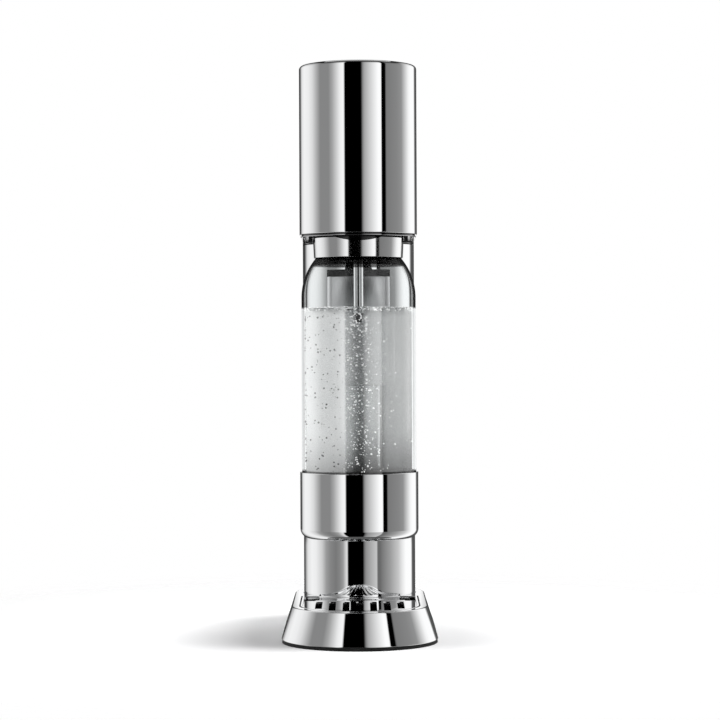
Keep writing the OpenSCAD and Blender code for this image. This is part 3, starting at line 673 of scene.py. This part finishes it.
castAlloy = moulded("castAlloy", (0.52, 0.53, 0.54), (0.62, 0.63, 0.64), 1200, 0.34, 0.48, 0.02 * mm, 1.0)
gasAlloy = lathed("gasAlloy", (0.62, 0.63, 0.645), (0.7, 0.71, 0.725), rearY, 700, 0.22, 0.32, 0.003 * mm)
rearBrass = lathed("rearBrass", (0.66, 0.48, 0.2), (0.76, 0.58, 0.28), rearY, 900, 0.18, 0.3, 0.004 * mm)
sideBrass = moulded("sideBrass", (0.66, 0.48, 0.2), (0.76, 0.58, 0.28), 1400, 0.2, 0.32, 0.006 * mm, 1.0)
satinSteel = moulded("satinSteel", (0.5, 0.5, 0.51), (0.6, 0.6, 0.61), 2200, 0.22, 0.36, 0.006 * mm, 1.0)

solidFinishes = [
    (grainBlack, ["base_core", "base_plate", "drip_tray", "inner_frame", "cylinder_seat", "button_stem",
                  "head_chassis"]),
    (satinSteel, ["base_screws", "valve_pin", "manifold_screws", "gas_pipe", "handle_pins", "valve_lever",
                  "lever_pivot_pin", "stem_clip", "button_spring", "trunnion_pins", "neck_grip"]),
    (softRubber, ["foot_ring", "manifold_seal", "neck_seal"]),
    (glossBlack, ["head_underside", "holder_core"]),
    (sideBrass, ["relief_valve", "pipe_fitting"]),
    (rearBrass, ["cylinder_valve"]),
    (castAlloy, ["gas_manifold"]),
    (handleGrey, ["quick_connect_handle"]),
    (trimChrome, ["head_trim"]),
]
for finish, names in solidFinishes:
    for name in names:
        nodes[name].data.materials.clear()
        nodes[name].data.materials.append(finish)
print("finishes made:", len(bpy.data.materials))


# Head shell

headLook = {"edge": 2.6 * mm, "lip": 0.5 * mm, "flange": 1.2 * mm, "sheet": 1.5 * mm, "cap": 5 * mm,
            "hole": 24.35 * mm, "holeEdge": 0.5 * mm, "holeFlat": 3 * mm, "holeDeep": 1.4 * mm,
            "arcSteps": 110}


def makeHead(look):
    # The lip, wall and top edge are carried round the pill, then each station runs in to the button's hole.
    # Behind the seam the wall ends at the cap, as the rear cover takes over below it.
    low, top = headLow.z, headHigh.z
    capZ = top - look["cap"]
    middle, turn = pillPath([0, rearY - seam / 2], look["arcSteps"])
    rise = roundCorners([(bodyR - look["flange"], low), (bodyR, low), (bodyR, capZ)], [look["lip"]])
    crown = roundCorners([(bodyR, capZ), (bodyR, top), (bodyR - 2 * look["edge"], top)], [look["edge"]], 10)
    wall = pillGrid(np.concatenate([rise, crown[1:]]), middle, turn)
    rim = wall[:, -1]
    aim = np.arctan2(rim[:, 1] - frontY, rim[:, 0])
    mouth = roundCorners([(look["hole"] + look["holeFlat"], top), (look["hole"], top),
                          (look["hole"], top - look["holeDeep"])], [look["holeEdge"]])
    points = np.concatenate([wall, pillGrid(mouth, 0 * aim + frontY, aim)], 1)
    behind = middle >= rearY - seam / 2 - tiny
    gone = behind & np.roll(behind, -1)
    belowCap = np.arange(points.shape[1] - 1) < len(rise) - 1
    keep = ~(gone[:, None] & belowCap[None])
    addPiece("headShell", [gridFaces(points, closeU=True, keep=keep)], chrome, "stand", "polished_metal",
             ["head_shell"], wall=look["sheet"])


makeHead(headLook)


# Base skirt

skirtLook = {"flare": 8.1 * mm, "lip": 0.5 * mm, "flange": 1.2 * mm, "edge": 1.0 * mm, "sheet": 1.5 * mm,
             "pocket": 45.3 * mm, "hornY": 18 * mm, "columnGap": 0.35 * mm, "rearHole": 41 * mm,
             "corner": 0.6 * mm, "innerEdge": 0.4 * mm, "arcSteps": 110, "hornSteps": 8, "hugSteps": 14}


def makeSkirt(look):
    # A slanted side under a flat rim, carried round the pill. The rim runs in to the tray's pocket at the
    # front, to the column in the middle and to a round hole at the rear.
    low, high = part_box("base_skirt")
    foot, rim = high.x, high.x - look["flare"]
    hugR = bodyR + look["columnGap"]
    horn = look["hornY"]
    hug = horn + look["corner"]
    tail = rearY + 2 * look["corner"]
    sides = np.concatenate([np.linspace(frontY, horn, look["hornSteps"])[1:],
                            np.linspace(hug, rearY, look["hugSteps"])[:-1]])
    middle, turn = pillPath(sides, look["arcSteps"])
    side = roundCorners([(foot - look["flange"], low.z), (foot, low.z), (rim, high.z),
                         (rim - 2 * look["edge"], high.z)], [look["lip"], look["edge"]])
    slope = pillGrid(side, middle, turn)
    end = slope[:, -1]
    away = np.sign(end[:, 0])
    y = end[:, 1]
    inX = np.where(y <= horn + tiny, away * look["pocket"],
                   away * np.sqrt(np.maximum(hugR ** 2 - np.minimum(y - rearY, 0) ** 2, 0)))
    inner = np.stack([inX, y], 1)
    front = (turn < -tiny) & (turn > -pi + tiny) & (middle == frontY)
    inner[front] = arcPoints(look["pocket"], frontY, turn)[front]
    back = (middle == rearY) & (turn >= 0)
    rearR = np.where(y > tail, look["rearHole"], hugR)
    inner[back] = arcPoints(rearR, rearY, turn)[back]
    out = end[:, :2] - inner
    out /= np.linalg.norm(out, axis=1)[:, None]
    lipLine = roundCorners([(2 * look["innerEdge"], 0), (0, 0), (0, -look["edge"])], [look["innerEdge"]])
    edge = np.concatenate([inner[:, None] + out[:, None] * lipLine[None, :, :1],
                           np.broadcast_to(high.z + lipLine[None, :, 1:], (len(inner), len(lipLine), 1))], -1)
    points = np.concatenate([slope, edge], 1)
    addPiece("baseSkirt", [gridFaces(points, closeU=True)], chrome, "stand", "polished_metal", ["base_skirt"],
             wall=look["sheet"])


makeSkirt(skirtLook)


# Column and rear cover

columnLook = {"sheet": 1.5 * mm, "restGap": 0.35 * mm, "restSlot": 5.4 * mm, "arcSteps": 120}


def makeColumn(look):
    # Front half of a tube, with the rest panel's window left out of the grid
    low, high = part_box("column_shell")
    restLow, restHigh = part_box("back_rest")
    half = restHigh.x + look["restGap"]
    sideTurn = asin(half / bodyR)
    start = asin(seam / 2 / bodyR)
    leftTurn = np.linspace(-pi + start, -pi / 2 - sideTurn, look["arcSteps"] // 3)
    midTurn = np.linspace(-pi / 2 - sideTurn, -pi / 2 + sideTurn, look["arcSteps"] // 3)
    turn = np.concatenate([leftTurn, midTurn[1:], -pi - leftTurn[::-1][1:]])
    windowLow = restLow.z - look["restGap"]
    windowHigh = restHigh.z + look["restSlot"]
    z = np.array([low.z, windowLow, windowHigh, high.z])
    points = pillGrid(np.stack([0 * z + bodyR, z], 1), 0 * turn + rearY, turn)
    centre = (turn[1:] + turn[:-1]) / 2
    window = np.abs(centre + pi / 2) < sideTurn
    keep = np.ones((len(turn) - 1, 3), bool)
    keep[window, 1] = False
    addPiece("columnShell", [gridFaces(points, keep=keep)], chrome, "stand", "polished_metal",
             ["column_shell"], wall=look["sheet"])


coverLook = {"sheet": 2 * mm, "edge": 0.8 * mm, "lip": 0.4 * mm, "arcSteps": 120}


def makeCover(look):
    # Rear half of a tube with a flat lid: the profile runs up the wall and in to the axis
    low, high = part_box("rear_cover")
    start = asin(seam / 2 / bodyR)
    turn = np.linspace(start, pi - start, look["arcSteps"])
    profile = roundCorners([(bodyR - 2 * look["lip"], low.z), (bodyR, low.z), (bodyR, high.z),
                            (bodyR / 2, high.z), (0, high.z)], [look["lip"], look["edge"], 0])
    points = pillGrid(profile, 0 * turn + rearY, turn)
    points[..., 1] = np.maximum(points[..., 1], rearY + seam / 2)
    addPiece("rearCover", [gridFaces(points)], chrome, "cover", "polished_metal", ["rear_cover"],
             wall=look["sheet"])


restLook = {"faceR": 62 * mm, "edge": 2.6 * mm, "drop": 2.4 * mm, "back": 5 * mm, "sheet": 1.2 * mm,
            "bevel": 0.3 * mm, "columns": 49}


def makeRest(look):
    # A pad with a slightly bowed face and slanted sides: its depth is the face circle's sagitta, then the
    # side's slope
    low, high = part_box("back_rest")
    half = high.x
    flat = half - look["edge"]
    x = np.linspace(-flat, flat, look["columns"])
    bow = look["faceR"] - np.sqrt(look["faceR"] ** 2 - x ** 2)
    rim = bow[0] + look["drop"]
    x = np.concatenate([[-half, -half], x, [half, half]])
    depth = np.concatenate([[rim + look["back"], rim], bow, [rim, rim + look["back"]]])
    z = np.array([low.z, high.z])
    points = np.stack(np.broadcast_arrays(x[:, None], low.y + depth[:, None], z[None]), -1)
    addPiece("restPanel", [gridFaces(points)], restSatin, "stand", "rest_panel", ["back_rest"],
             wall=look["sheet"], bevel=look["bevel"])


makeColumn(columnLook)
makeRest(restLook)
makeCover(coverLook)


# Collar, cup and button

collarLook = {"low": 0.8 * mm, "taper": 0.7 * mm, "round": 0.4 * mm, "drop": 0.7 * mm, "notch": 2.9 * mm,
              "notchR": 51 * mm, "start": 0.1 * mm, "steps": 240}


def makeCollar(look):
    # A tapered ring. Its upper half is lowered at the front to the notch's arc, a circle across the collar.
    low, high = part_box("bottle_collar")
    inner = high.x - look["low"] - look["taper"]
    mid = (low.z + high.z) / 2
    loop = roundCorners([(inner, mid), (inner, low.z), (inner + look["low"], low.z), (high.x, high.z),
                         (inner, high.z), (inner, mid + look["start"])], [look["round"]] * 4, 5)
    points = revolveGrid(loop, frontY, look["steps"])
    arc = np.sqrt(look["notchR"] ** 2 - points[..., 0] ** 2)
    top = np.minimum(high.z, high.z - look["notch"] + look["notchR"] - arc) - look["drop"]
    top = np.where(points[..., 1] < frontY, top, high.z - look["drop"])
    z = points[..., 2]
    points[..., 2] = np.where(z > mid, mid + (z - mid) * (top - mid) / (high.z - mid), z)
    addPiece("bottleCollar", [gridFaces(points, True, True)], collarChrome, "holder", "polished_metal",
             ["bottle_collar"])


cupLook = {"sheet": 1.2 * mm, "edge": 7 * mm, "lip": 0.45 * mm, "floor": 1.5 * mm}


def makeCup(look):
    # A deep dish: outside from the axis up to the lip, then down the inside and back to the axis
    r, low, high = cupHigh.x, cupLow.z, cupHigh.z
    inner = r - look["sheet"]
    line = roundCorners([(0, low), (r, low), (r, high), (inner, high), (inner, low + look["floor"]),
                         (0, low + look["floor"])],
                        [look["edge"], look["lip"], look["lip"], look["edge"] - look["sheet"]], 14)
    addRound("bottleCup", line, 200, False, chrome, "bottle", "polished_metal", ["bottle_base_cup"])


buttonLook = {"wall": 2.5 * mm, "cap": 3 * mm, "edge": 1 * mm, "dish": 0.7 * mm, "rim": 2.2 * mm,
              "stop": 0.4 * mm, "press": 8 * mm, "foot": 0.3 * mm}


def makeButton(look):
    # A cap with a shallow dish: the dish's depth falls off with the square of the radius
    low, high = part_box("carbonation_button")
    r = high.x
    inner = r - look["wall"]
    ceiling = high.z - look["cap"]
    foot = low.z + look["stop"]
    wall = roundCorners([(inner, foot), (r, foot), (r, high.z), (r - 2 * look["rim"], high.z)],
                        [look["foot"], look["edge"]])[:-1]
    dishR = np.linspace(r - look["rim"], 0, 24)
    dish = np.stack([dishR, high.z - look["dish"] * (1 - (dishR / (r - look["rim"])) ** 2)], 1)
    under = np.array([(0, ceiling), (inner, ceiling)])
    loop = np.concatenate([wall, dish, under])
    addRound("pushButton", loop, 160, True, chrome, "button", "polished_metal", ["carbonation_button"])


def foldSpring():
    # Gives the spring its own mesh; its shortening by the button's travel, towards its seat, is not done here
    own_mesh(nodes["button_spring"])


makeCollar(collarLook)
makeCup(cupLook)
makeButton(buttonLook)
foldSpring()


# Nozzle

nozzleLook = {"bore": 1.5 * mm, "round": 0.5 * mm, "tipR": 2.2 * mm, "tipBore": 0.6 * mm, "tipCap": 2 * mm,
              "tipRound": 0.3 * mm}


def makeNozzle(look):
    # Two closed profiles turned round the bottle's axis: the tube, and the narrow tip below its cap
    low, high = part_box("nozzle_tube")
    tube = roundCorners([(look["bore"], low.z), (high.x, low.z), (high.x, high.z), (look["bore"], high.z)],
                        [look["round"] / 2, look["round"]])
    addRound("nozzleTube", tube, 64, True, chrome, "holder", "polished_metal", ["nozzle_tube"])
    low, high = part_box("nozzle_tip")
    step = high.z - look["tipCap"]
    tip = roundCorners([(look["tipBore"], low.z), (look["tipR"], low.z), (look["tipR"], step), (high.x, step),
                        (high.x, high.z), (look["tipBore"], high.z)],
                       [look["round"], look["tipRound"], look["round"], look["round"] / 2])
    addRound("nozzleTip", tip, 48, True, grainBlack, "holder", "black_plastic", ["nozzle_tip"])


makeNozzle(nozzleLook)


# Bottle, water and bubbles

bottleLook = {"wall": 2.2 * mm, "foot": 8 * mm, "shoulder": 46 * mm, "shoulderDrop": 61.3 * mm,
              "neck": 18 * mm, "neckWall": 2.5 * mm, "throat": 4 * mm, "ring": 22.5 * mm,
              "ringLow": 18.5 * mm, "ringH": 2.2 * mm, "thread": 0.9 * mm, "pitch": 4.2 * mm,
              "threadLow": 12.5 * mm, "threadHigh": 2.6 * mm,
              "pulse": (1.6, 0.4), "taperH": 20 * mm, "neckLift": 0.5 * mm, "lip": 0.8 * mm, "lipH": 8 * mm,
              "ringRounds": [0.3 * mm, 0.5 * mm, 0.5 * mm, 0.4 * mm], "steps": 200}
waterLevel = bottleHigh.z - 69.2 * mm
wallLook = {"dark": (0.965, 0.98, 0.98), "light": (0.985, 0.995, 0.995), "ior": 1.005, "soft": 1 * mm,
            # painted shade bands in the wall, where the dark holder and the cup's rim show: lowest and
            # highest place, softness and level
            "paintedShadeBands": [(bottleHigh.z - 37.4 * mm, bottleHigh.z - 18 * mm, 0.5 * mm, 0.13),
                      (cupHigh.z - 6 * mm, cupHigh.z + 1.2 * mm, 0.5 * mm, 0.2)],
            # facing range and level of the painted dark edge, then the coat
            "edge": (0.52, 0.74), "paintedEdgeLevel": 0.02, "coat": 2.55, "coatAir": 0.09, "coatFoot": 0.45,
            "coatFade": (cupHigh.z + 6 * mm, cupHigh.z + 44 * mm), "coatEdge": (0.85, 0.55)}
drinkLook = {"dark": (0.62, 0.63, 0.63), "light": (0.68, 0.69, 0.69), "ior": 1.035,
             # painted shade: the drink is darker towards the foot, about the cup's rim
             "paintedShadeBands": [(cupHigh.z - 40 * mm, cupHigh.z + 12 * mm, 22 * mm, 0.25)]}
clearWall = clear("clearWall", wallLook)
addPaintedDarkEdge(clearWall, wallLook, bottleLook)
addCoat(clearWall, wallLook)
drinkWater = clear("drinkWater", drinkLook)



def shoulderAt(look, inset, r):
    # Height at which the shoulder's arc, drawn in by a wall, reaches a radius
    side = bottleHigh.x - look["shoulder"]
    return bottleHigh.z - look["shoulderDrop"] + sqrt((look["shoulder"] - inset) ** 2 - (r - side) ** 2)


def shoulderArc(look, inset, r):
    # The shoulder's arc from the side up to a radius, whose angle is the arc cosine of its share
    side = bottleHigh.x - look["shoulder"]
    stop = np.degrees(np.arccos((r - side) / (look["shoulder"] - inset)))
    return arcLine((side, bottleHigh.z - look["shoulderDrop"]), look["shoulder"] - inset, 0, stop, 40)


def makeBottle(look):
    # The outside runs from the axis up to the mouth, the inside back down. On the neck a helical ridge is
    # added to the radius: a rounded pulse of the phase height / pitch - turn, faded out at both ends.
    r, low, top = bottleHigh.x, bottleLow.z, bottleHigh.z
    neck, bore = look["neck"], look["neck"] - look["neckWall"]
    ringLow = top - look["ringLow"]
    ringHigh = ringLow + look["ringH"]
    straight = top - look["shoulderDrop"] - look["taperH"]
    foot = roundCorners([(0, low), (r, low), (r, straight)], [look["foot"]], 14)
    arc = shoulderArc(look, 0, neck + look["throat"])
    collar = roundCorners([(neck, shoulderAt(look, 0, neck) + look["neckLift"]), (neck, ringLow),
                           (look["ring"], ringLow), (look["ring"], ringHigh), (neck, ringHigh),
                           (neck, top - look["threadLow"])], look["ringRounds"], 5)
    ridge = np.linspace(top - look["threadLow"], top - look["threadHigh"], 56)
    ridge = np.stack([0 * ridge + neck, ridge], 1)
    mouth = roundCorners([(neck, top - look["threadHigh"]), (neck, top), (bore, top),
                          (bore, top - look["lipH"])], [look["lip"]] * 2)
    innerLow = low + look["wall"]
    innerR = r - look["wall"]
    innerArc = shoulderArc(look, look["wall"], bore + look["throat"])[::-1]
    inside = roundCorners([(innerR, straight), (innerR, innerLow), (0, innerLow)],
                          [look["foot"] - look["wall"]], 14)
    line = np.concatenate([foot, arc, collar, ridge[1:], mouth[1:], innerArc, inside])
    points = revolveGrid(line, frontY, look["steps"])
    turn = np.linspace(0, 2 * pi, look["steps"], endpoint=False)[:, None]
    z = line[:, 1][None]
    onRidge = (np.abs(line[:, 0] - neck) < tiny)[None] & (z >= ridge[0, 1]) & (z <= ridge[-1, 1])
    fade = np.clip((z - ridge[0, 1]) / look["pitch"] * 2, 0, 1)
    fade = fade * np.clip((ridge[-1, 1] - z) / look["pitch"] * 2, 0, 1)
    steep, cut = look["pulse"]
    pulse = np.clip(steep * np.cos(2 * pi * z / look["pitch"] - turn) - cut, 0, 1)
    swell = np.where(onRidge, look["thread"] * fade * pulse, 0)
    points[..., 0] += swell * np.cos(turn)
    points[..., 1] += swell * np.sin(turn)
    addPiece("clearBottle", [gridFaces(points, True)], clearWall, "bottle", "clear_plastic", ["bottle"],
             crease=50)


waterLook = {"level": waterLevel, "gap": 0.9 * mm, "meniscus": 0.5 * mm, "reach": 1.7 * mm,
             "nozzleShare": 0.7}


def makeWater(look):
    # Fills the bottle to a level, with room for the bubbles that cling to the wall. The surface climbs at its
    # rim and at the nozzle by an exponential of the distance.
    wall = bottleLook["wall"] + look["gap"]
    r, low = bottleHigh.x - wall, bottleLow.z + wall
    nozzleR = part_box("nozzle_tube")[1].x
    body = roundCorners([(0, low), (r, low), (r, look["level"] + look["meniscus"])],
                        [bottleLook["foot"] - wall], 14)
    inward = r * np.cos(np.linspace(0, pi / 2, 60))
    climb = np.exp(-(r - inward) / look["reach"])
    climb = climb + look["nozzleShare"] * np.exp(-np.abs(inward - nozzleR) / look["reach"])
    top = np.stack([inward, look["level"] + look["meniscus"] * climb], 1)
    line = np.concatenate([body[:-1], top])
    addRound("water", line, 200, False, drinkWater, "bottle", "clear_plastic", crease=60)


# glow is the strength of the haze's painted glow; left, middle and right give its cover, painted densest on
# the left
fizzLook = {"radius": 38.2 * mm, "low": cupHigh.z - 2 * mm, "gap": 2.0 * mm, "noise": 55, "glow": 0.8,
            "left": 0.84, "middle": 0.05, "right": 0.24, "foot": 0.68, "crown": 0.5, "lean": 27 * mm,
            "band": (15 * mm, 17.5 * mm, 28 * mm, 36 * mm), "fade": (cupHigh.z - 4 * mm, cupHigh.z + 54 * mm),
            "top": (waterLevel - 2 * mm, waterLevel - 7 * mm)}


def makeFizz(look):
    # A tube inside the water that carries the haze and its painted glow
    z = np.linspace(look["low"], waterLook["level"] - look["gap"], 30)
    line = np.stack([0 * z + look["radius"], z], 1)
    addRound("fizz", line, 96, False, paintedGlowVeil("fizzPaintedGlow", look), "bottle", "clear_plastic")


bubbleLook = {
    "seed": 11, "low": cupHigh.z - 6 * mm, "cling": 0.03 * mm, "around": 10, "rings": 6,
    # number in each crowd, and the least radius, spread and power of its sizes, in millimetres
    "crowds": [(430, 0.28, 0.54, 4), (190, 0.38, 0.35, 2), (240, 0.3, 0.34, 2), (80, 0.4, 0.4, 2),
               (26, 0.45, 0.4, 1)],
    "frontTurn": (-pi / 2, radians(15)), "wallTurn": (-pi * 0.85, radians(60)),     # middle and spread
    # power, depth and rise of the foam, then distances from the axis and depths of the others, in millimetres
    "foam": (1.6, 3, 0.5), "plumeR": (5, 3, 9), "plumeTop": 4 * mm, "tipR": (4.4, 2.5), "tipZ": (4, 14),
    # painted glow strength, the sides and heights between which the painted glow comes in, and the painted
    # dark and light colours
    "paintedShine": 0.55, "side": (-14 * mm, -9 * mm), "paintedShineZ": (waterLevel - 4 * mm, waterLevel - 3 * mm),
    "levels": (0.12, 0.95),
}
gasBubble = polished("gasBubble", (0.96, 0.965, 0.97), 40, 0.04, 0.1)
addPaintedBubbleGlow(gasBubble, bubbleLook)


def makeBubbles(look):
    # Small balls in five crowds: a dense band on the front wall, those that cling elsewhere, the foam at the
    # water's edge, the plume under the nozzle and a cluster at its tip. All are one array, where each place
    # is middle + radius * unit ball.
    draw = np.random.default_rng(look["seed"])
    level, innerR = waterLook["level"], bottleHigh.x - bottleLook["wall"]
    deep = level - look["low"]
    count = [crowd[0] for crowd in look["crowds"]]
    size = np.concatenate([least + spread * draw.random(number) ** power
                           for number, least, spread, power in look["crowds"]]) * mm
    turn = np.concatenate([draw.normal(*look["frontTurn"], count[0]),
                           draw.normal(*look["wallTurn"], count[1]), 2 * pi * draw.random(sum(count[2:]))])
    depth = draw.random(count[3])
    near, spread, widen = look["plumeR"]
    tipNear, tipSpread = look["tipR"]
    out = np.concatenate([innerR - look["cling"] - size[:sum(count[:3])],
                          (near + np.abs(draw.normal(0, 1, count[3])) * (spread + widen * depth)) * mm,
                          (tipNear + tipSpread * draw.random(count[4])) * mm])
    power, foamDeep, foamRise = look["foam"]
    tipTop, tipDeep = look["tipZ"]
    drop = np.concatenate([draw.random(count[0] + count[1]) * deep,
                           (draw.random(count[2]) ** power * foamDeep - foamRise) * mm,
                           look["plumeTop"] + depth * deep, (tipTop + tipDeep * draw.random(count[4])) * mm])
    fits = out + size < innerR
    middle = np.stack([out * np.cos(turn), frontY + out * np.sin(turn), level - drop], 1)[fits]
    lon = np.linspace(0, 2 * pi, look["around"], endpoint=False)[:, None]
    lat = np.linspace(-pi / 2, pi / 2, look["rings"])[None]
    ball = np.stack([np.cos(lat) * np.cos(lon), np.cos(lat) * np.sin(lon), np.sin(lat) + 0 * lon], -1)
    corners, quads = gridFaces(ball, True)
    balls = middle[:, None] + size[fits][:, None, None] * corners[None]
    faces = quads[None] + (np.arange(len(middle)) * len(corners))[:, None, None]
    addPiece("bubbles", [(balls.reshape(-1, 3), faces.reshape(-1, 4))], gasBubble, "bottle", "clear_plastic",
             crease=180)


makeBottle(bottleLook)
makeWater(waterLook)
makeFizz(fizzLook)
makeBubbles(bubbleLook)


# Drip grille

grilleLook = {"sheet": 2.6 * mm, "lipW": 2 * mm, "round": 0.45 * mm, "columnGap": 0.6 * mm, "slots": 7,
              "pitch": 10.3 * mm, "slotW": 5.2 * mm, "slotReach": 34.5 * mm, "slotBack": 32 * mm,
              "edge": 0.25 * mm, "slotRim": 0.5 * mm, "arcSteps": 96, "sideSteps": 8, "beyondSteps": 14}


def grilleOutline(look, inset):
    # The tray's outline drawn in by an inset: front arc, right side, horn, arc round the column, horn and
    # left side
    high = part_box("drip_grille")[1]
    r = high.x - inset
    backY = high.y - inset
    hugR = bodyR + look["columnGap"] + inset
    hornTurn = np.arccos((rearY - backY) / hugR)
    front = np.linspace(-pi, 0, look["arcSteps"] + 1)
    hug = np.linspace(-pi / 2 + hornTurn, -pi / 2 - hornTurn, look["arcSteps"] + 1)
    hornX = hugR * sin(hornTurn)
    run = np.linspace(0, 1, look["sideSteps"])
    side = np.stack([0 * run + r, frontY + run * (backY - frontY)], 1)
    horn = np.stack([r + run * (hornX - r), 0 * run + backY], 1)
    flip = np.array([-1, 1])
    return np.concatenate([
        arcPoints(r, frontY, front), side[1:], horn[1:], arcPoints(hugR, rearY, hug)[1:],
        (horn * flip)[::-1][1:], (side * flip)[::-1][1:-1]])


def makeGrille(look):
    # A flat sheet whose rows follow the front arc, the slots' ends and the column, with the slots left out of
    # the grid, and a raised lip carried between the outline and the same outline drawn in
    low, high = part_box("drip_grille")
    lipTop = high.z
    sheetTop = low.z + look["sheet"]
    outer, inner = grilleOutline(look, 0), grilleOutline(look, look["lipW"])
    section = roundCorners([(0, low.z), (0, lipTop), (look["lipW"], lipTop), (look["lipW"], low.z)],
                           [look["round"], look["round"]], 5)
    share = (section[:, 0] / look["lipW"])[None, :, None]
    ring = outer[:, None] * (1 - share) + inner[:, None] * share
    lip = np.concatenate([ring, np.broadcast_to(section[None, :, 1:], ring.shape[:2] + (1,))], -1)
    half = (look["slots"] - 1) / 2
    centres = (np.arange(look["slots"]) - half) * look["pitch"]
    edges = np.stack([centres - look["slotW"] / 2, centres + look["slotW"] / 2], 1).ravel()
    r = high.x - look["lipW"] / 2
    beyond = r * np.sin(np.linspace(asin(edges[-1] / r), pi / 2, look["beyondSteps"]))[1:]
    x = np.concatenate([-beyond[::-1], edges, beyond])
    frontEdge = frontY - np.sqrt(np.maximum(r ** 2 - x ** 2, 0))
    hugR = bodyR + look["columnGap"] + look["lipW"] / 2
    backEdge = np.minimum(high.y - look["lipW"] / 2, rearY - np.sqrt(np.maximum(hugR ** 2 - x ** 2, 0)))
    nearest = centres[np.abs(x[:, None] - centres[None]).argmin(1)]
    slotFront = frontY - np.sqrt(look["slotReach"] ** 2 - nearest ** 2)
    slotFront = np.maximum(slotFront, frontEdge + look["slotRim"])
    slotBack = 0 * x + frontY + look["slotBack"]
    y = np.stack([frontEdge, slotFront, slotBack, backEdge], 1)
    sheet = np.stack([np.broadcast_to(x[:, None], y.shape), y, np.full(y.shape, sheetTop)], -1)
    keep = np.ones((len(x) - 1, 3), bool)
    keep[len(beyond) + 2 * np.arange(look["slots"]), 1] = False
    addPiece("grilleSheet", [gridFaces(sheet, keep=keep)], chrome, "tray", "polished_metal", ["drip_grille"],
             wall=look["sheet"], bevel=look["edge"])
    addPiece("grilleLip", [gridFaces(lip, True, True)], chrome, "tray", "polished_metal", ["drip_grille"])


makeGrille(grilleLook)


# Gas cylinder

gasLook = {"neck": 13 * mm, "foot": 4 * mm, "neckH": 6 * mm, "neckLow": 1 * mm, "edge": 0.5 * mm,
           "domeTurn": 78}


def makeGasCylinder(look):
    # A round foot, a straight side, a domed shoulder and a neck, closed on top as the valve sits there
    low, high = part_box("co2_cylinder")
    r = high.x
    dome = r - look["neck"]
    domeZ = high.z - dome - look["neckH"]
    foot = roundCorners([(0, low.z), (r, low.z), (r, domeZ)], [look["foot"]])
    shoulder = arcLine((look["neck"], domeZ), dome, 0, look["domeTurn"], 30)
    neck = roundCorners([(look["neck"], high.z - look["neckH"] + look["neckLow"]), (look["neck"], high.z),
                         (0, high.z)], [look["edge"]])
    line = np.concatenate([foot, shoulder[1:], neck])
    addRound("gasCylinder", line, 128, False, gasAlloy, "gas", "cylinder_metal", ["co2_cylinder"],
             centreY=rearY)


makeGasCylinder(gasLook)
